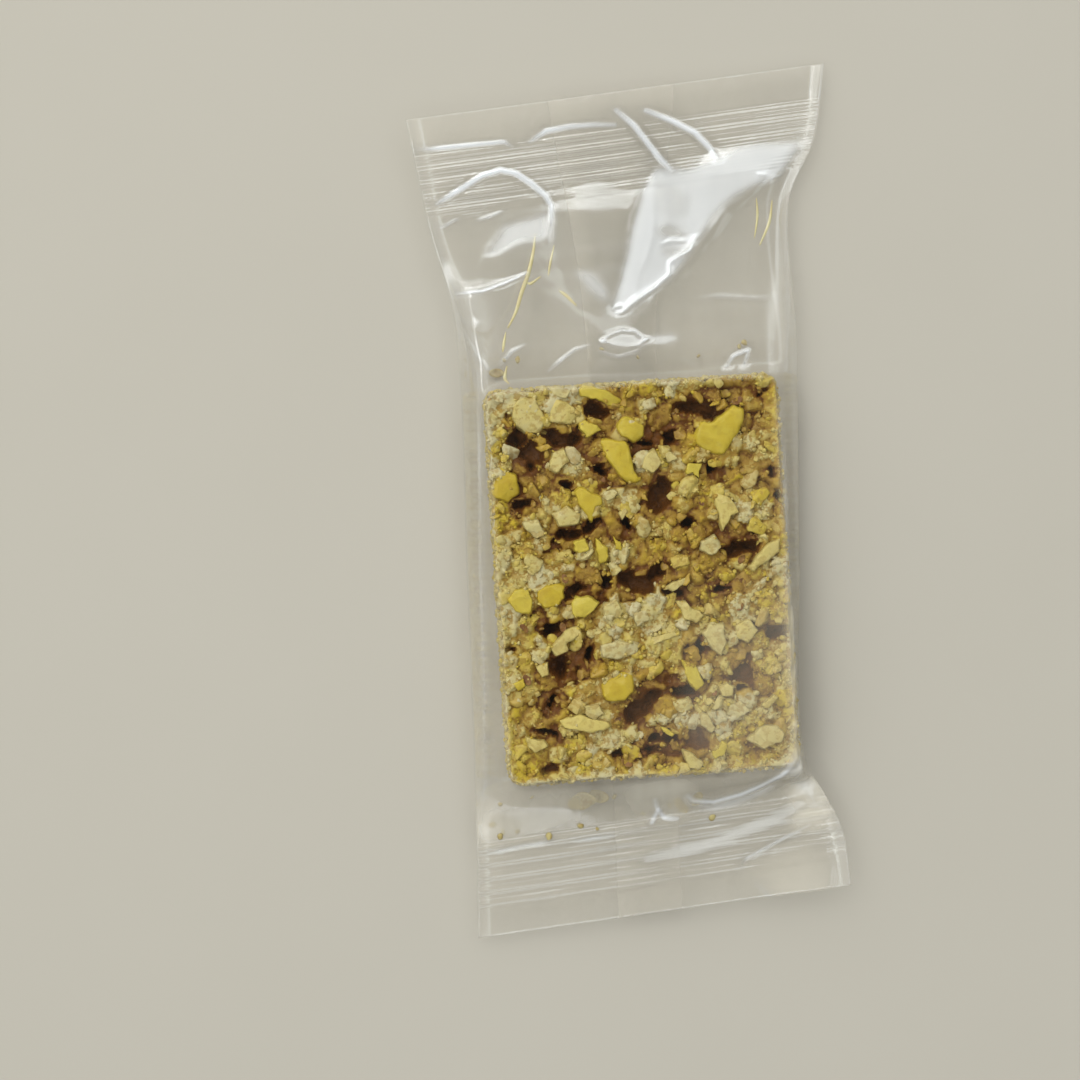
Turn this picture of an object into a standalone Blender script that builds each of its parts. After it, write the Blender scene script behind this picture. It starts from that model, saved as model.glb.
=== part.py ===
"""Honey nut brittle sealed in a clear film packet that lies on its back.

The sealed packet is one solid, film and contents together. A pressed bar of nut brittle fills its
lower part and shows through the film as a raised slab with crags of chopped nut. The film slopes
from the bar to a flat seal at each end, crimped in ridges and with a smooth tail, and a lap seam
runs down the back. Metres, +Z up, +Y towards the top seal, origin under the middle of the packet.
"""

import math
import random

import bmesh
import bpy
from mathutils import Euler, Matrix, Vector, noise

# The bar of brittle
BAR_WIDTH = 0.0594
BAR_LENGTH = 0.0800
BAR_FACE = 0.0112
BAR_MIDDLE = Vector((0.0018, -0.0154))
BAR_TURN = math.radians(1.7)
BAR_CORNER = 0.0035
RIM_WIDTH = 0.0016
RIM_DROP = 0.0011
FACE_UNEVEN = 0.0004
UNEVEN_SPAN = 0.0038

# The film packet, by stations along its middle line
TOP_SEAL = 0.0625
LOW_SEAL = -0.0645
CRIMP_RIDGES = 5
RIDGE_PITCH = 0.0028
CRIMP_DEPTH = 0.0007
TOP_TAIL = 0.0065
LOW_TAIL = 0.0055
SEAL_SLANT = math.radians(6.3)
FIN_HEIGHT = 0.0046
FIN_THICKNESS = 0.0008
TOP_CURL = 0.0022
LOW_CURL = -0.0016
TOP_PUFF = 0.0034
LOW_PUFF = 0.0012
LOBE_DEPTH = 0.0013
FLANK_BEND = 1.25
PILLOW_DOME = 2.6
UNDER_SLOPE = 1.4
HALF_WIDTH = 0.0425
BODY_HALF_WIDTH = 0.0340

# The lap seam down the back
SEAM_LEFT = -0.0050
SEAM_RIGHT = 0.0080
SEAM_STEP = 0.0006
SEAM_THICKNESS = 0.0005

# The packet's side edges as (station, x): the film flares into ears where it is pressed flat
LEFT_EDGE = (
    (-0.0840, -0.0338),
    (-0.0640, -0.0334),
    (-0.0150, -0.0335),
    (0.0380, -BODY_HALF_WIDTH),
    (0.0620, -0.0388),
    (0.0830, -HALF_WIDTH),
)
RIGHT_EDGE = (
    (-0.0840, HALF_WIDTH),
    (-0.0720, 0.0410),
    (-0.0610, 0.0362),
    (-0.0480, 0.0333),
    (-0.0150, 0.0341),
    (0.0320, 0.0349),
    (0.0560, 0.0342),
    (0.0680, 0.0398),
    (0.0830, HALF_WIDTH),
)

# The large pieces of nut on the face: x and y on the bar, length, width and turn in degrees
NUT_PIECES = (
    (0.0176, 0.0283, 0.0120, 0.0092, 50),
    (-0.0035, 0.0244, 0.0104, 0.0072, -48),
    (-0.0007, 0.0303, 0.0068, 0.0056, -20),
    (-0.0105, 0.0163, 0.0076, 0.0054, -60),
    (-0.0251, -0.0022, 0.0064, 0.0056, 10),
    (-0.0186, -0.0017, 0.0068, 0.0060, 60),
    (-0.0122, -0.0039, 0.0068, 0.0054, 25),
    (-0.0066, -0.0205, 0.0082, 0.0062, 12),
    (0.0232, -0.0332, 0.0090, 0.0054, 24),
    (0.0142, -0.0120, 0.0086, 0.0048, -52),
    (0.0176, 0.0140, 0.0080, 0.0048, -62),
    (-0.0163, -0.0118, 0.0078, 0.0050, 48),
    (-0.0259, 0.0190, 0.0074, 0.0056, 70),
    (-0.0191, 0.0330, 0.0100, 0.0084, 15),
    (-0.0040, 0.0368, 0.0110, 0.0040, -8),
    (0.0245, 0.0370, 0.0080, 0.0036, 6),
    (0.0094, -0.0205, 0.0068, 0.0042, -58),
    (0.0109, -0.0290, 0.0056, 0.0042, 70),
    (0.0076, -0.0360, 0.0052, 0.0042, 30),
    (-0.0212, -0.0169, 0.0062, 0.0052, 40),
    (-0.0136, -0.0290, 0.0100, 0.0046, 4),
    (0.0240, 0.0026, 0.0094, 0.0046, 46),
    (0.0093, -0.0061, 0.0056, 0.0042, 20),
)
NUT_RISE = (0.0006, 0.0011)
CRAG_COLUMNS = 9
CRAG_ROWS = 12
CRAG_SIZE = (0.0030, 0.0052)
CRAG_RISE = (0.0002, 0.0006)
CRAG_SEED = 11
NUT_JITTER = 0.13
NUT_FLATNESS = 0.7
NUT_SUNK = 0.46
NUT_TILT = 0.14

# The clear film over pale brittle, as it looks from a step away
PACKET_COLOUR = (0.62, 0.55, 0.33, 1.0)
PACKET_ROUGHNESS = 0.25
PACKET_METALLIC = 0.0
SHARP_ANGLE = math.radians(38)

BAR_TOP_END = BAR_MIDDLE.y + BAR_LENGTH / 2
BAR_LOW_END = BAR_MIDDLE.y - BAR_LENGTH / 2
CRIMP_BAND = CRIMP_RIDGES * RIDGE_PITCH
PACKET_TOP = TOP_SEAL + CRIMP_BAND + TOP_TAIL
PACKET_LOW = LOW_SEAL - CRIMP_BAND - LOW_TAIL


def clear_scene():
    """Removes whatever the scene holds at the start."""
    for obj in list(bpy.data.objects):
        bpy.data.objects.remove(obj, do_unlink=True)


def new_collection(name):
    """A collection of that name in the scene."""
    collection = bpy.data.collections.new(name)
    bpy.context.scene.collection.children.link(collection)
    return collection


def food_film_material():
    """The finish of the packet: glossy film with the brittle behind it."""
    material = bpy.data.materials.new("clear_film_over_brittle")
    material.use_nodes = True
    shader = material.node_tree.nodes["Principled BSDF"]
    shader.inputs["Base Color"].default_value = PACKET_COLOUR
    shader.inputs["Roughness"].default_value = PACKET_ROUGHNESS
    shader.inputs["Metallic"].default_value = PACKET_METALLIC
    return material


def mix(low, high, share):
    """The value that lies this share of the way from low to high."""
    return low + (high - low) * share


def eased(share):
    """The share held between 0 and 1, with a smooth start and end."""
    held = min(max(share, 0.0), 1.0)
    return held * held * (3 - 2 * held)


def through(knots, station):
    """The smooth line through the knots, read at a station."""
    stations = [knot[0] for knot in knots]
    values = [knot[1] for knot in knots]
    if station <= stations[0]:
        return values[0]
    if station >= stations[-1]:
        return values[-1]
    first = max(i for i in range(len(knots) - 1) if stations[i] <= station)
    slopes = []
    for i in (first, first + 1):
        before, after = max(i - 1, 0), min(i + 1, len(knots) - 1)
        slopes.append((values[after] - values[before]) / (stations[after] - stations[before]))
    span = stations[first + 1] - stations[first]
    t = (station - stations[first]) / span
    return (
        values[first] * (1 + 2 * t) * (1 - t) ** 2
        + slopes[0] * span * t * (1 - t) ** 2
        + values[first + 1] * t * t * (3 - 2 * t)
        - slopes[1] * span * t * t * (1 - t)
    )


def evenly(low, high, steps):
    """Values from low up to, but not at, high."""
    return [mix(low, high, i / steps) for i in range(steps)]


def row_stations():
    """Stations of the mesh's rows, from the lower tail to the upper tail."""
    low_crimp, top_crimp = LOW_SEAL - CRIMP_BAND, TOP_SEAL + CRIMP_BAND
    return (
        evenly(PACKET_LOW, low_crimp, 2)
        + evenly(low_crimp, LOW_SEAL, 2 * CRIMP_RIDGES)
        + evenly(LOW_SEAL, BAR_LOW_END, 4)
        + [BAR_LOW_END]
        + evenly(BAR_LOW_END + RIM_WIDTH, BAR_TOP_END - RIM_WIDTH, 18)
        + [BAR_TOP_END - RIM_WIDTH]
        + evenly(BAR_TOP_END, TOP_SEAL, 11)
        + evenly(TOP_SEAL, top_crimp, 2 * CRIMP_RIDGES)
        + evenly(top_crimp, PACKET_TOP, 2)
        + [PACKET_TOP]
    )


def seam_columns():
    """The columns where the lap seam's two sides run."""
    return [(BAR_WIDTH / 2 - BAR_MIDDLE.x + x) / BAR_WIDTH for x in (SEAM_LEFT, SEAM_RIGHT)]


def column_places():
    """Columns of the mesh: -1 to 0 is the left flank, 0 to 1 the bar and 1 to 2 the right flank."""
    rim, step = RIM_WIDTH / BAR_WIDTH, SEAM_STEP / BAR_WIDTH
    seam_left, seam_right = seam_columns()
    return (
        evenly(-1, 0, 4)
        + [0.0]
        + evenly(rim, seam_left - step, 6)
        + [seam_left - step]
        + evenly(seam_left, seam_right, 3)
        + [seam_right]
        + evenly(seam_right + step, 1 - rim, 6)
        + [1 - rim]
        + evenly(1, 2, 4)
        + [2.0]
    )


def past_bar(station):
    """How far a station lies from the bar's end to the seal: 0 on the bar, 1 in the seal."""
    if station > BAR_TOP_END:
        return min((station - BAR_TOP_END) / (TOP_SEAL - BAR_TOP_END), 1.0)
    if station < BAR_LOW_END:
        return min((BAR_LOW_END - station) / (BAR_LOW_END - LOW_SEAL), 1.0)
    return 0.0


def column_x(column, station):
    """Where a column crosses a station: it follows the film's edge, the bar's side or a mix."""
    left, right = through(LEFT_EDGE, station), through(RIGHT_EDGE, station)
    lean = (BAR_MIDDLE.y - station) * math.tan(BAR_TURN)
    held = 1 - 0.5 * eased(past_bar(station))
    bar_left = mix(mix(left, right, 0.12), BAR_MIDDLE.x - BAR_WIDTH / 2 + lean, held)
    bar_right = mix(mix(right, left, 0.12), BAR_MIDDLE.x + BAR_WIDTH / 2 + lean, held)
    if column < 0:
        return mix(bar_left, left, -column)
    if column > 1:
        return mix(bar_right, right, column - 1)
    return mix(bar_left, bar_right, column)


def on_bar(x, y):
    """The place of a point of the packet in the bar's own turned frame."""
    return Matrix.Rotation(-BAR_TURN, 2) @ (Vector((x, y)) - BAR_MIDDLE)


def depth_inside_bar(x, y):
    """How far a point lies inside the bar's rounded outline, 0 on it and outside."""
    place = on_bar(x, y)
    across = abs(place.x) - (BAR_WIDTH / 2 - BAR_CORNER)
    along = abs(place.y) - (BAR_LENGTH / 2 - BAR_CORNER)
    outside = math.hypot(max(across, 0.0), max(along, 0.0)) + min(max(across, along), 0.0)
    return max(BAR_CORNER - outside, 0.0)


def fin_height(x, station):
    """Height of the pressed film, which curls a little towards the packet's corners."""
    curl = TOP_CURL if station > 0 else LOW_CURL
    twist = -curl * x / HALF_WIDTH
    beyond = max(abs(station) - TOP_SEAL, 0.0) / (PACKET_TOP - TOP_SEAL)
    return FIN_HEIGHT + twist * eased(past_bar(station)) * mix(0.5, 1.0, beyond)


def crimp(station):
    """Height of the seal's ridges: a zigzag across the seal, none elsewhere."""
    start = TOP_SEAL if station > 0 else -LOW_SEAL
    ridge = (abs(station) - start) / RIDGE_PITCH
    if not 0 < ridge < CRIMP_RIDGES:
        return 0.0
    return CRIMP_DEPTH * (0.5 - abs(ridge % 1.0 - 0.5)) * 2 - CRIMP_DEPTH / 2


def bulge(column, x, station):
    """How full the packet is across a station: 1 over the bar, 0 at the film's edges."""
    left, right = through(LEFT_EDGE, station), through(RIGHT_EDGE, station)
    flank = max(-column, column - 1, 0.0)
    straight = 1 - flank**FLANK_BEND
    across = abs(2 * x - left - right) / (right - left)
    domed = 1 - min(across, 1.0) ** PILLOW_DOME
    return mix(straight, domed, eased(1.3 * past_bar(station)))


def film_above(column, x, y, station):
    """Height of the upper film."""
    share = past_bar(station)
    middle, full = fin_height(x, station), bulge(column, x, station)
    puff = TOP_PUFF if station > 0 else LOW_PUFF
    rise = (BAR_FACE - RIM_DROP - middle + 4 * puff * share * (1 - share)) * (1 - share)
    lobe = LOBE_DEPTH if station > 0 else 0.0
    lobes = lobe * math.sin(math.pi * share) * -math.cos(2 * math.pi * x / BODY_HALF_WIDTH)
    edge = FIN_THICKNESS / 2 * (1 - full * (1 - share))
    on_rim = min(depth_inside_bar(x, y) / RIM_WIDTH, 1.0)
    rim = RIM_DROP * (1 - (1 - on_rim) ** 2)
    uneven = FACE_UNEVEN * on_rim * noise.noise(Vector((x, y, 0.0)) / UNEVEN_SPAN)
    return middle + (rise + lobes) * full + edge + rim + uneven + crimp(station)


def film_below(column, x, y, station):
    """Height of the lower film: flat on the surface under the bar, with the lap seam beyond it."""
    share = past_bar(station)
    middle, full = fin_height(x, station), bulge(column, x, station)
    lowest = middle * share**UNDER_SLOPE
    edge = FIN_THICKNESS / 2 * (1 - full * (1 - share))
    seam_left, seam_right = seam_columns()
    seam = SEAM_THICKNESS * eased(3 * share) if seam_left <= column <= seam_right else 0.0
    height = middle - (middle - lowest) * full - edge - seam + crimp(station)
    return max(height, 0.0)


def place_skin(verts, columns, rows, height):
    """Moves one skin's grid of vertices to their columns, stations and heights."""
    for vert in verts:
        column = columns[round((vert.co.x + 0.5) * (len(columns) - 1))]
        station = rows[round((vert.co.y + 0.5) * (len(rows) - 1))]
        x = column_x(column, station)
        slant = mix(BAR_TURN, SEAL_SLANT, eased(past_bar(station)))
        y = station + x * math.tan(slant)
        vert.co = (x, y, height(column, x, y, station))


def film_packet(collection, material):
    """The packet's film and contents as one closed solid, without the crags."""
    columns, rows = column_places(), row_stations()
    bm = bmesh.new()
    bmesh.ops.create_grid(
        bm, x_segments=len(columns) - 1, y_segments=len(rows) - 1, size=0.5
    )
    under = list(bm.verts)
    raised = bmesh.ops.extrude_face_region(bm, geom=bm.faces[:])["geom"]
    over = [item for item in raised if isinstance(item, bmesh.types.BMVert)]
    place_skin(under, columns, rows, film_below)
    place_skin(over, columns, rows, film_above)
    bmesh.ops.recalc_face_normals(bm, faces=bm.faces[:])
    mesh = bpy.data.meshes.new("packet")
    bm.to_mesh(mesh)
    bm.free()
    packet = bpy.data.objects.new("packet", mesh)
    packet.data.materials.append(material)
    collection.objects.link(packet)
    return packet


def nut_piece(collection, place, size, turn, rise, detail, draw):
    """One chopped nut, half sunk in the bar's face and standing proud of it by rise."""
    length, width = size
    thickness = NUT_FLATNESS * width
    bm = bmesh.new()
    bmesh.ops.create_icosphere(bm, subdivisions=detail, radius=0.5)
    for vert in bm.verts:
        vert.co *= 1 + draw.uniform(-NUT_JITTER, NUT_JITTER)
    mesh = bpy.data.meshes.new("nut_piece")
    bmesh.ops.scale(bm, vec=(length, width, thickness), verts=bm.verts[:])
    bm.to_mesh(mesh)
    bm.free()
    middle = BAR_MIDDLE + Matrix.Rotation(BAR_TURN, 2) @ Vector(place)
    piece = bpy.data.objects.new("nut_piece", mesh)
    piece.location = (middle.x, middle.y, BAR_FACE + rise - NUT_SUNK * thickness)
    lean = [draw.uniform(-NUT_TILT, NUT_TILT) for _ in range(2)]
    piece.rotation_euler = Euler((*lean, turn + BAR_TURN))
    collection.objects.link(piece)


def large_nuts(collection, draw):
    """The large pieces of nut that show first on the face."""
    for x, y, length, width, turn in NUT_PIECES:
        rise = draw.uniform(*NUT_RISE)
        nut_piece(collection, (x, y), (length, width), math.radians(turn), rise, 2, draw)


def small_crags(collection, draw):
    """Smaller crags over the rest of the face, one in each cell that no large piece fills."""
    step_x, step_y = BAR_WIDTH / CRAG_COLUMNS, BAR_LENGTH / CRAG_ROWS
    for i in range(CRAG_COLUMNS):
        for j in range(CRAG_ROWS):
            x = (i + draw.uniform(0.25, 0.75)) * step_x - BAR_WIDTH / 2
            y = (j + draw.uniform(0.25, 0.75)) * step_y - BAR_LENGTH / 2
            length = draw.uniform(*CRAG_SIZE)
            size = (length, length * draw.uniform(0.6, 0.9))
            turn, rise = draw.uniform(0, math.pi), draw.uniform(*CRAG_RISE)
            inside = min(BAR_WIDTH / 2 - abs(x), BAR_LENGTH / 2 - abs(y))
            near = [math.hypot(x - nut[0], y - nut[1]) < 0.45 * nut[2] for nut in NUT_PIECES]
            if inside > length / 2 and not any(near):
                nut_piece(collection, (x, y), size, turn, rise, 1, draw)


def fuse(packet, nuts):
    """Joins the pieces of nut to the packet in one solid and removes their own objects."""
    union = packet.modifiers.new("fuse_nuts", "BOOLEAN")
    union.operation = "UNION"
    union.operand_type = "COLLECTION"
    union.collection = nuts
    union.solver = "EXACT"
    graph = bpy.context.evaluated_depsgraph_get()
    fused = bpy.data.meshes.new_from_object(packet.evaluated_get(graph))
    packet.modifiers.remove(union)
    packet.data = fused
    packet.data.shade_smooth()
    packet.data.set_sharp_from_angle(angle=SHARP_ANGLE)
    for piece in list(nuts.objects):
        bpy.data.objects.remove(piece, do_unlink=True)
    bpy.data.collections.remove(nuts)


def main():
    """Builds the sealed packet."""
    clear_scene()
    parts = new_collection("nut_brittle_packet")
    nuts = new_collection("nut_pieces")
    packet = film_packet(parts, food_film_material())
    draw = random.Random(CRAG_SEED)
    large_nuts(nuts, draw)
    small_crags(nuts, draw)
    fuse(packet, nuts)


main()
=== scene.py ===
"""The looks of a bar of honey nut brittle in its clear packet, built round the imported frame.

The packet lies on its back. Its film, the pressed bar with its chopped nuts, crumbs, flakes of skin
and honey, and the loose crumbs beside the bar are each a class that builds and dresses its meshes.
"""

from __future__ import annotations

import logging
import math
import random
from dataclasses import dataclass, field
from enum import Enum
from typing import Iterable, Sequence

import bpy
import numpy as np
from mathutils import Matrix, Vector


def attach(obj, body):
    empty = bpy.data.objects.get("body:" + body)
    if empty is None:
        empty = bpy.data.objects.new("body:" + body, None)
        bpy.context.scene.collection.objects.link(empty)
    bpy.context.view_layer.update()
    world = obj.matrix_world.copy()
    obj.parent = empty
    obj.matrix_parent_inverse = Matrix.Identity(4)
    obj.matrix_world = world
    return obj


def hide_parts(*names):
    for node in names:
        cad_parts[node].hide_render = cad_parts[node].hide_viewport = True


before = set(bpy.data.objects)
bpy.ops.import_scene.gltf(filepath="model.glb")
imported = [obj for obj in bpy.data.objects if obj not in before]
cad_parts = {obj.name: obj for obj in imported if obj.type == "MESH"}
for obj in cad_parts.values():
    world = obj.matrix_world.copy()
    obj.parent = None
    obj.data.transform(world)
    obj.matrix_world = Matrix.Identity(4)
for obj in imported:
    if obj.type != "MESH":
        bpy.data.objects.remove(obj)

LOG = logging.getLogger("nut_brittle")
MM = 0.001
Array = np.ndarray
Points = Sequence[tuple[float, ...]]
NOISE_KNOTS = 128
NOISE_START = (64.37, 64.71)


# Arithmetic on arrays


def eased(share: Array) -> Array:
    """Returns shares held between 0 and 1, with a smooth start and end."""
    kept = np.clip(share, 0.0, 1.0)
    return kept * kept * (3 - 2 * kept)


def through(knots: Points, stations: Array) -> Array:
    """Reads the smooth line through knots.

    Args:
        knots: pairs of station and value, in rising order of station.
        stations: where the line is read.

    Returns:
        The line's value at each station.
    """
    at = np.array([knot[0] for knot in knots])
    values = np.array([knot[1] for knot in knots])
    slopes = np.empty_like(values)
    slopes[1:-1] = (values[2:] - values[:-2]) / (at[2:] - at[:-2])
    slopes[0] = (values[1] - values[0]) / (at[1] - at[0])
    slopes[-1] = (values[-1] - values[-2]) / (at[-1] - at[-2])
    kept = np.clip(stations, at[0], at[-1])
    first = np.clip(np.searchsorted(at, kept, side="right") - 1, 0, len(at) - 2)
    span = at[first + 1] - at[first]
    t = (kept - at[first]) / span
    start = values[first] * (1 + 2 * t) * (1 - t) ** 2 + slopes[first] * span * t * (1 - t) ** 2
    end = values[first + 1] * t * t * (3 - 2 * t) - slopes[first + 1] * span * t * t * (1 - t)
    return start + end


def between_corners(grid: Array, columns: tuple[Array, Array], rows: tuple[Array, Array],
                    shares: tuple[Array, Array]) -> Array:
    """Mixes a grid's values at the four corners round each place.

    Args:
        grid: the values.
        columns: the first and the second column of each place's corners.
        rows: their first and their second row.
        shares: how far each place lies towards the second column and the second row.

    Returns:
        The mixed values.
    """
    s, t = shares
    near, far = (grid[columns[0], row] * (1 - s) + grid[columns[1], row] * s for row in rows)
    return near * (1 - t) + far * t


def turned(across: Array, along: Array, angle: float) -> tuple[Array, Array]:
    """Returns how far places lie across and along once the axes are turned by this angle."""
    cos, sin = math.cos(angle), math.sin(angle)
    return across * cos + along * sin, along * cos - across * sin


def soft_noise(x: Array, y: Array, span: float, seed: int) -> Array:
    """Draws smooth noise over a plane.

    Args:
        x: places across.
        y: places along.
        span: the distance between the noise's own knots.
        seed: which noise is drawn.

    Returns:
        A value from -1 to 1 at each place.
    """
    lattice = np.random.default_rng(seed).uniform(-1, 1, (NOISE_KNOTS, NOISE_KNOTS))
    u, v = x / span + NOISE_START[0], y / span + NOISE_START[1]
    i, j = np.floor(u).astype(int), np.floor(v).astype(int)
    columns, rows = ((first % NOISE_KNOTS, (first + 1) % NOISE_KNOTS) for first in (i, j))
    return between_corners(lattice, columns, rows, (eased(u - i), eased(v - j)))


def soft_share(x: Array, y: Array, span: float, seed: int) -> Array:
    """Returns smooth noise over a plane as shares from 0 to 1."""
    return 0.5 + 0.5 * soft_noise(x, y, span, seed)


def blurred(field_values: Array, rounds: int) -> Array:
    """Smooths a grid of values.

    Args:
        field_values: the grid.
        rounds: how often each value is mixed with its neighbours.

    Returns:
        The smoothed grid.
    """
    values = field_values
    for _ in range(rounds):
        for axis in (0, 1):
            values = 0.5 * values + 0.25 * (np.roll(values, 1, axis) + np.roll(values, -1, axis))
    return values


def spread(field_values: Array, cells: int) -> Array:
    """Spreads each grid cell's highest neighbour over it.

    Args:
        field_values: the grid.
        cells: how far a high value reaches, in cells.

    Returns:
        The grid of highest values.
    """
    values = field_values.copy()
    for _ in range(cells):
        for axis in (0, 1):
            values = np.maximum(values, np.maximum(np.roll(values, 1, axis), np.roll(values, -1, axis)))
    return values


# Shader nodes


@dataclass(frozen=True)
class Wire:
    """One output of a material's nodes, used in expressions as if it were a number."""

    paint: "Paint"
    socket: bpy.types.NodeSocket

    def __add__(self, other: "Wire | float") -> "Wire":
        """Returns the sum."""
        return self.paint.maths("ADD", self, other)

    def __radd__(self, other: float) -> "Wire":
        """Returns the sum."""
        return self.paint.maths("ADD", other, self)

    def __sub__(self, other: "Wire | float") -> "Wire":
        """Returns the difference."""
        return self.paint.maths("SUBTRACT", self, other)

    def __rsub__(self, other: float) -> "Wire":
        """Returns the difference, from a number."""
        return self.paint.maths("SUBTRACT", other, self)

    def __mul__(self, other: "Wire | float") -> "Wire":
        """Returns the product."""
        return self.paint.maths("MULTIPLY", self, other)

    def __rmul__(self, other: float) -> "Wire":
        """Returns the product."""
        return self.paint.maths("MULTIPLY", other, self)

    def __truediv__(self, other: "Wire | float") -> "Wire":
        """Returns the quotient."""
        return self.paint.maths("DIVIDE", self, other)

    def held(self) -> "Wire":
        """Returns the value held between 0 and 1."""
        return self.paint.add("ShaderNodeClamp", inputs={"Value": self})

    def step(self, low: float, high: float) -> "Wire":
        """Returns the value eased from 0 at low to 1 at high."""
        ends = {"Value": self, "From Min": low, "From Max": high}
        return self.paint.add("ShaderNodeMapRange", {"interpolation_type": "SMOOTHSTEP"}, ends)


class Paint:
    """A material, or the room's light, whose nodes are added one by one."""

    def __init__(self, owner: bpy.types.Material | bpy.types.World) -> None:
        """Starts an empty material or light.

        Args:
            owner: the new material or world.
        """
        self.owner = owner
        self.owner.use_nodes = True
        self.tree = self.owner.node_tree
        self.tree.nodes.clear()

    def add(self, kind: str, settings: dict | None = None, inputs: dict | None = None,
            output: int | str = 0) -> Wire:
        """Adds any node.

        Args:
            kind: the node's type.
            settings: the node's own settings; a ramp's stops are pairs of place and colour.
            inputs: a number, colour or wire for each named or numbered input.
            output: which output is handed back.

        Returns:
            The chosen output.
        """
        node = self.tree.nodes.new(kind)
        for name, value in (settings or {}).items():
            if name == "stops":
                self._set_stops(node.color_ramp, value)
            else:
                setattr(node, name, value)
        for name, value in (inputs or {}).items():
            if isinstance(value, Wire):
                self.tree.links.new(value.socket, node.inputs[name])
            else:
                node.inputs[name].default_value = value
        return Wire(self, node.outputs[output])

    @staticmethod
    def _set_stops(ramp: bpy.types.ColorRamp, stops: Iterable[tuple[float, tuple]]) -> None:
        """Sets a ramp's stops.

        Args:
            ramp: the ramp.
            stops: pairs of place and colour.
        """
        pairs = list(stops)
        while len(ramp.elements) < len(pairs):
            ramp.elements.new(1.0)
        for element, (place, colour) in zip(ramp.elements, pairs):
            element.position = place
            element.color = (*colour, 1.0)

    def maths(self, operation: str, first: Wire | float, second: Wire | float) -> Wire:
        """Returns the result of a Math node with two values."""
        return self.add("ShaderNodeMath", {"operation": operation}, {0: first, 1: second})

    def place(self) -> Wire:
        """Returns the place on the piece, in metres."""
        return self.add("ShaderNodeTexCoord", output="Object")

    def attribute(self, name: str) -> Wire:
        """Returns a value that is kept under this name at each point of the mesh."""
        return self.add("ShaderNodeAttribute", {"attribute_name": name}, output="Fac")

    def noise(self, span: float, detail: float = 3.0, rough: float = 0.55) -> Wire:
        """Returns noise round 0.5: its spots' size in metres, its finer layers and their strength."""
        values = {"Vector": self.place(), "Scale": 1 / span, "Detail": detail, "Roughness": rough}
        return self.add("ShaderNodeTexNoise", {"noise_dimensions": "3D"}, values)

    def ramp(self, value: Wire, stops: Iterable[tuple[float, tuple]]) -> Wire:
        """Returns the colour of a ramp, made of pairs of place and colour, at a value."""
        return self.add("ShaderNodeValToRGB", {"stops": stops}, {"Fac": value}, "Color")

    def mixed(self, share: Wire | float, low: Wire | tuple, high: Wire | tuple) -> Wire:
        """Mixes two colours.

        Args:
            share: how much of the second colour shows.
            low: the colour at share 0.
            high: the colour at share 1.

        Returns:
            The mixed colour.
        """
        ends = [end if isinstance(end, Wire) else (*end, 1.0) for end in (low, high)]
        settings = {"data_type": "RGBA", "clamp_factor": True}
        return self.add("ShaderNodeMix", settings, {0: share, 6: ends[0], 7: ends[1]}, 2)

    def bump(self, height: Wire, depth: float) -> Wire:
        """Returns the normal of a bumpy surface, where a height of 1 is this deep in metres."""
        return self.add("ShaderNodeBump", inputs={"Height": height, "Distance": depth, "Strength": 1.0})

    def finish(self, surface: Wire) -> bpy.types.Material | bpy.types.World:
        """Ends the material or light.

        Args:
            surface: the last shader.

        Returns:
            The material or world.
        """
        is_world = isinstance(self.owner, bpy.types.World)
        last = self.tree.nodes.new("ShaderNodeOutputWorld" if is_world else "ShaderNodeOutputMaterial")
        self.tree.links.new(surface.socket, last.inputs["Surface"])
        return self.owner


Colour = tuple[float, float, float]


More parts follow.
